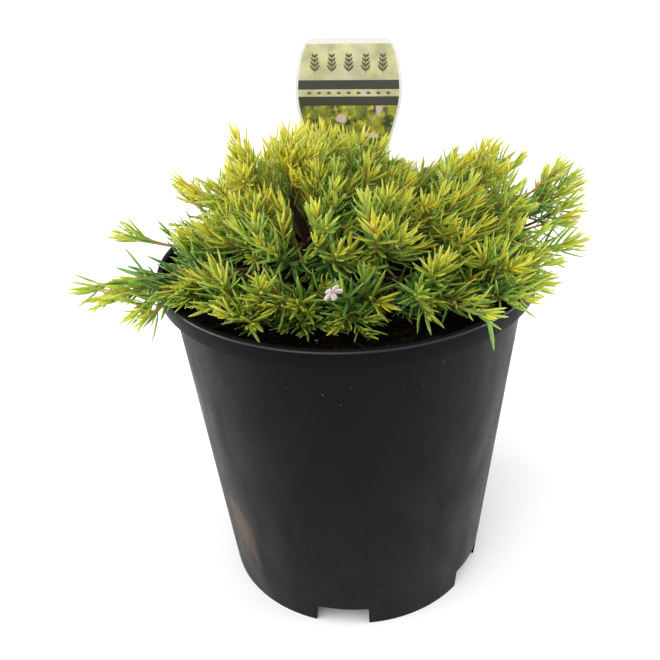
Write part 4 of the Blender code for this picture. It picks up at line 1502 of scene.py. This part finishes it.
def leaf_places(shoot, length, rng):
    """How far from the shoot's tip each leaf stands: closer together in the tuft, none on the bare part."""
    is_leader = shoot["kind"] == "stem" and shoot["limb"]["name"] == LEADER
    bare = (LEADER_BARE if is_leader else BARE[shoot["kind"]]) * length
    places = []
    place = FIRST_LEAF
    while place < length - bare:
        places.append(place)
        crowding = TUFT_CROWDING + (1 - TUFT_CROWDING) * min(1, place / TUFT)
        place += LEAF_SPACING[shoot["kind"]] * crowding * rng.uniform(*SPACING_CHANCE)
    return np.array(places)


def on_line(line, marks, run):
    """The places at some distances along a line, whose points lie at the marks."""
    return np.stack([np.interp(run, marks, line[:, i]) for i in range(3)], axis=1)


def leaf_rows(shoot, rng):
    """The leaves of one shoot: roots, directions, axes, lengths and distances from the tip."""
    line = np.array([tuple(point) for point in shoot["line"]])
    steps = np.linalg.norm(np.diff(line, axis=0), axis=1)
    marks = np.concatenate([[0], np.cumsum(steps)])
    from_tip = leaf_places(shoot, marks[-1], rng)
    count = len(from_tip)
    if count == 0:
        return None
    run = marks[-1] - from_tip
    roots = on_line(line, marks, run)
    axes = unit(on_line(line, marks, run + AXIS_STEP) - on_line(line, marks, run - AXIS_STEP))
    tuft = np.clip(from_tip / TUFT, 0, 1)
    at_tip, past_tuft, at_end = LEAF_ANGLES
    opening = np.radians(at_tip + past_tuft * tuft + at_end * np.clip(from_tip / LOWER_END, 0, 1))
    angles = opening * rng.uniform(*ANGLE_CHANCE, count)
    turns = rng.uniform(0, math.tau) + GOLDEN_ANGLE * np.arange(count) + rng.normal(0, TURN_CHANCE, count)
    aside = unit(np.cross(axes, np.where(np.abs(axes[:, 2:]) < 0.9, [[0, 0, 1.0]], [[1.0, 0, 0]])))
    other = np.cross(axes, aside)
    out = aside * np.cos(turns)[:, None] + other * np.sin(turns)[:, None]
    directions = axes * np.cos(angles)[:, None] + out * np.sin(angles)[:, None] + [0, 0, LEAF_LIFT]
    limb = shoot["limb"]
    size = LEAF_SIZE[shoot["kind"]] * LEAF_SIZE[limb["tier"]]
    if math.hypot(*shoot["line"][-1].xy) > RIM_RADIUS:
        size *= LONG_LEAVED.get(limb["name"], 1.0)
    lengths = LEAF_LENGTH * size * (TUFT_LEAF + LOWER_LEAF_GAIN * tuft) * rng.uniform(*LEAF_CHANCE, count)
    return roots, unit(directions), axes, lengths, from_tip


# %% Which leaves fit, and how golden each is
LEAF_LEAN_OVER = 0.0100
LEAF_ROOM = 0.0050
LEAF_TESTS = (0.30, 0.65, 1.0)
LEAN_TESTED_FROM = 0.5
AIM_TRIES = 4
AIM_STEP = 0.35
CROWN_TOP = 0.182
CROWN_FALL = 0.40
LEAST_GOLD = 0.03
HEIGHT_GOLD = 0.30
HEIGHT_POWER = 1.4
TIP_GOLD = 0.48
TIP_GOLD_REACH = 0.010
TIER_GOLD = {"low": 0.07, "middle": 0.04, "top": 0.05}
# Place, size and gain of the spots that stood longest in the sun
SUNNY_PLACES = (
    ((-0.032, 0.004, 0.170), 0.024, 0.30), ((0.030, -0.024, 0.160), 0.020, 0.14),
    ((0.080, 0.005, 0.160), 0.014, 0.06), ((-0.045, -0.042, 0.148), 0.020, 0.12),
    ((0.064, -0.036, 0.142), 0.014, 0.06),
)
SHOOT_LUCK = 0.09
LEAF_LUCK = 0.035


def aimed(shoot, roots, directions, lengths):
    """Directions, turned up step by step where a leaf would meet something, and which leaves fit."""
    for _ in range(AIM_TRIES):
        fits = np.ones(len(roots), bool)
        for share in LEAF_TESTS:
            points = roots + directions * share * lengths[:, None]
            fits &= ~left_open(points)
            if shoot["kind"] == "lone":
                fits &= clear_of_pot(points) & clear_of_tag(points)
            elif share > LEAN_TESTED_FROM:
                fits &= has_room(shoot["limb"], points, LEAF_LEAN_OVER, LEAF_ROOM)
        directions = unit(np.where(fits[:, None], directions, directions + [0, 0, AIM_STEP]))
    return directions, fits


def gold_of(shoot, roots, from_tip, luck, rng):
    """How golden each leaf is, from 0, deep green, to 1, bright gold."""
    tip = shoot["line"][-1]
    sun = 0
    for place, size, gain in SUNNY_PLACES:
        sun += gain * math.exp(-((tip - Vector(place)).length / size) ** 2)
    radius = np.hypot(roots[:, 0], roots[:, 1])
    top = CROWN_TOP - CROWN_FALL * radius
    height = np.clip((roots[:, 2] - SOIL_TOP) / (top - SOIL_TOP), 0, 1)
    tipness = np.exp(-from_tip / TIP_GOLD_REACH)
    gold = LEAST_GOLD + HEIGHT_GOLD * height**HEIGHT_POWER + TIP_GOLD * tipness
    gold = gold + TIER_GOLD[shoot["limb"]["tier"]] + luck + sun
    return gold + rng.normal(0, LEAF_LUCK, len(roots))


# %% Every leaf
# Where a single leaf hangs over the rim, and where its tip is
HANGING_LEAVES = (
    ((0.0425, -0.0570, 0.1390), (0.0448, -0.0640, 0.1300)),
    ((-0.0270, -0.0541, 0.1390), (-0.0274, -0.0600, 0.1330)),
)
HANGING_GOLD = 0.40
HANGING_BEND = -0.15
LEAF_BEND = (-0.12, 0.06)
LEAF_SEED = 7

leaves = {"root": [], "direction": [], "axis": [], "length": [], "gold": [], "bend": []}
rng = np.random.default_rng(LEAF_SEED)
for shoot in shoots:
    rows = leaf_rows(shoot, rng)
    luck = rng.normal(0, SHOOT_LUCK)
    if rows is None:
        continue
    roots, directions, axes, lengths, from_tip = rows
    directions, kept = aimed(shoot, roots, directions, lengths)
    gold = gold_of(shoot, roots, from_tip, luck, rng)
    bends = rng.normal(*LEAF_BEND, len(roots))
    for key, values in zip(leaves, (roots, directions, axes, lengths, gold, bends)):
        leaves[key].append(values[kept])
for place, tip in HANGING_LEAVES:
    root = nearest_on_shoots(Vector(place))
    run = Vector(tip) - root
    row = (root, run.normalized(), -UP, run.length, HANGING_GOLD, HANGING_BEND)
    for key, value in zip(leaves, row):
        leaves[key].append(np.array([value]))
leaves = {key: np.concatenate(values) for key, values in leaves.items()}
print("leaves", len(leaves["root"]))

# %% The mesh of some leaves
LEAF_RISE = 0.12
# A long leaf is less wide and less thick than its length would make it
WIDTH_GROWTH = 0.6
THICK_GROWTH = 0.5


def leaf_mesh(name, chosen):
    """One mesh of the chosen leaves, each with its groove to the shoot and its keel outside."""
    direction = leaves["direction"][chosen]
    across = unit(np.cross(leaves["axis"][chosen], direction))
    keel = np.cross(across, direction)
    length = leaves["length"][chosen][:, None]
    size = length / LEAF_LENGTH
    width = LEAF_WIDTH * size**WIDTH_GROWTH
    thick = LEAF_THICK * size**THICK_GROWTH
    out = LEAF[:, 0] * thick + leaves["bend"][chosen][:, None] * LEAF[:, 2] ** 2 * length
    points = leaves["root"][chosen][:, None]
    points = points + keel[:, None] * out[..., None]
    points = points + across[:, None] * (LEAF[:, 1] * width)[..., None]
    points = points + direction[:, None] * (LEAF[:, 2] * length)[..., None]
    points[..., 2] += LEAF_RISE * (1 - np.abs(direction[:, 2:])) * length * LEAF[:, 2] ** 2
    count = len(direction)
    starts = range(0, count * len(LEAF), len(LEAF))
    faces = [tuple(corner + start for corner in face) for start in starts for face in leaf_faces]
    return mesh_of(name, points.reshape(-1, 3), faces)


# %% Seven leaf colours and their pieces
# Each colour and the least gold that it stands for
LEAF_COLOURS = {
    "leaves_deep_green": (screen(66, 112, 60), -math.inf),
    "leaves_dark_green": (screen(84, 130, 58), 0.22),
    "leaves_mid_green": (screen(110, 148, 58), 0.34),
    "leaves_light_green": (screen(138, 166, 58), 0.46),
    "leaves_lime": (screen(164, 178, 56), 0.58),
    "leaves_gold_lime": (screen(184, 184, 50), 0.70),
    "leaves_gold": (screen(202, 191, 46), 0.83),
}
LEAF_SHEEN = 0.48
LEAF_GLOW = {"Subsurface_Weight": 0.45, "Subsurface_Radius": (0.8, 1.0, 0.35), "Subsurface_Scale": 0.0018}
DARKER = 0.80
LIGHTER = 1.15

limits = [limit for _, limit in LEAF_COLOURS.values()] + [math.inf]
for number, (name, (colour, _)) in enumerate(LEAF_COLOURS.items()):
    chosen = (leaves["gold"] >= limits[number]) & (leaves["gold"] < limits[number + 1])
    leaf_finish = finish(name, colour, LEAF_SHEEN, Specular_IOR_Level=0.28, **LEAF_GLOW)
    darker = tuple(DARKER * value for value in colour)
    lighter = tuple(min(1, LIGHTER * value) for value in colour)
    tone = between(leaf_finish, clouds(leaf_finish, 330, 2.0), 0, 1, 0.3, 0.7)
    set_on(leaf_finish, Base_Color=blend(leaf_finish, tone, darker, lighter))
    put(name, leaf_mesh(name, chosen), [leaf_finish], MASSES)
    print(name, int(chosen.sum()))

# %% [markdown]
# ## Blossom
# Diosma flowers are pale pink stars of five rounded petals, seven millimetres across, on short stalks
# near the shoots' tips. The plant carries few: one shows in front, and two more are at the back. A petal
# is a small cupped blade with a front and a back skin, five are turned round the flower's own axis, and a
# yellowish eye closes the middle. The stalk is thickest behind the petals and runs to the nearest point
# of the nearest shoot, so no flower floats.

# %% One petal
PETAL_LENGTH = 0.0034
PETAL_WIDTH = 0.0022
PETAL_THICK = 0.00018
PETAL_CUP = 0.22
PETAL_DIP = 0.25
# Along the petal and half its width there, as shares of its own
PETAL_OUTLINE = ((0.0, 0.10), (0.25, 0.26), (0.55, 0.46), (0.80, 0.48), (0.95, 0.30), (1.0, 0.10))


def petal(turn):
    """Points and faces of one petal: two skins, cupped, joined round the edge."""
    points, faces = [], []
    for skin in (0, 1):
        for share, half in PETAL_OUTLINE:
            for side in (-1, 0, 1):
                dip = PETAL_DIP * abs(side) * half * PETAL_WIDTH
                high = PETAL_CUP * PETAL_LENGTH * share**2 + dip - skin * PETAL_THICK
                spot = Vector((share * PETAL_LENGTH, side * half * PETAL_WIDTH, high))
                points.append(Matrix.Rotation(turn, 3, "Z") @ spot)
    rows = len(PETAL_OUTLINE)
    for i in range(rows - 1):
        for j in (0, 1):
            a = 3 * i + j
            faces.append((a, a + 3, a + 4, a + 1))
            faces.append(tuple(3 * rows + k for k in (a, a + 1, a + 4, a + 3)))
    rim = [3 * i for i in range(rows)] + [3 * rows - 2] + [3 * i + 2 for i in reversed(range(rows))] + [1]
    for a, b in zip(rim, rim[1:] + rim[:1]):
        faces.append((b, a, a + 3 * rows, b + 3 * rows))
    return points, faces


# %% Flowers
# Place of each flower's heart, and the way that it faces
FLOWERS = (
    ((-0.0048, -0.0520, 0.1464), (0.42, -0.78, -0.30)), ((0.0480, 0.0500, 0.1520), (0.6, 0.7, 0.3)),
    ((-0.0340, 0.0520, 0.1520), (-0.4, 0.8, 0.3)),
)
PETALS = 5
EYE_SIZE = 0.0010
EYE_HEIGHT = 0.7
CUP_DEPTH = 0.0015
STALK_SAG = 0.0004
STALK_RADII = (0.00045, 0.0004, 0.00022, 0.00022)
STALK_SIDES = 6

petal_points, petal_faces, stalks = [], [], []
eyes = bmesh.new()
for place, facing in FLOWERS:
    heart = Vector(place)
    turned_to = Vector(facing).to_track_quat("Z", "Y").to_matrix()
    for i in range(PETALS):
        points, faces = petal(i * math.tau / PETALS)
        faces = [tuple(corner + len(petal_points) for corner in face) for face in faces]
        petal_points += [heart + turned_to @ point for point in points]
        petal_faces += faces
    flat = Matrix.Diagonal((1, 1, EYE_HEIGHT, 1))
    seat_of_eye = Matrix.Translation(heart) @ turned_to.to_4x4() @ flat
    bmesh.ops.create_icosphere(eyes, subdivisions=2, radius=EYE_SIZE / 2, matrix=seat_of_eye)
    end = nearest_on_shoots(heart)
    behind = heart - Vector(facing).normalized() * CUP_DEPTH
    stalk = [heart, behind, (behind + end) / 2 - UP * STALK_SAG, end]
    stalks.append(tube(stalk, STALK_RADII, STALK_SIDES))
petal_mesh = mesh_of("petals", petal_points, petal_faces)
eye_mesh = bpy.data.meshes.new("flower_eyes")
eyes.to_mesh(eye_mesh)
eyes.free()
print("flowers", len(FLOWERS), "petals", PETALS * len(FLOWERS))

# %% The flowers' finishes
petal_feel = {"Specular_IOR_Level": 0.3, "Subsurface_Weight": 0.3}
pink_petal = finish("pale_pink_petal", screen(240, 214, 216), 0.6, **petal_feel)
petal_tone = blend(pink_petal, clouds(pink_petal, 500, 2.0), screen(246, 226, 226), screen(232, 196, 202))
set_on(pink_petal, Base_Color=petal_tone)
put("petals", petal_mesh, [pink_petal])
put("flower_eyes", eye_mesh, [finish("flower_eye", screen(196, 186, 110), 0.6)])
put("flower_stalks", joined("flower_stalks", stalks), [finish("flower_stalk", screen(128, 146, 74), 0.6)])
print("petal faces", len(petal_mesh.polygons))
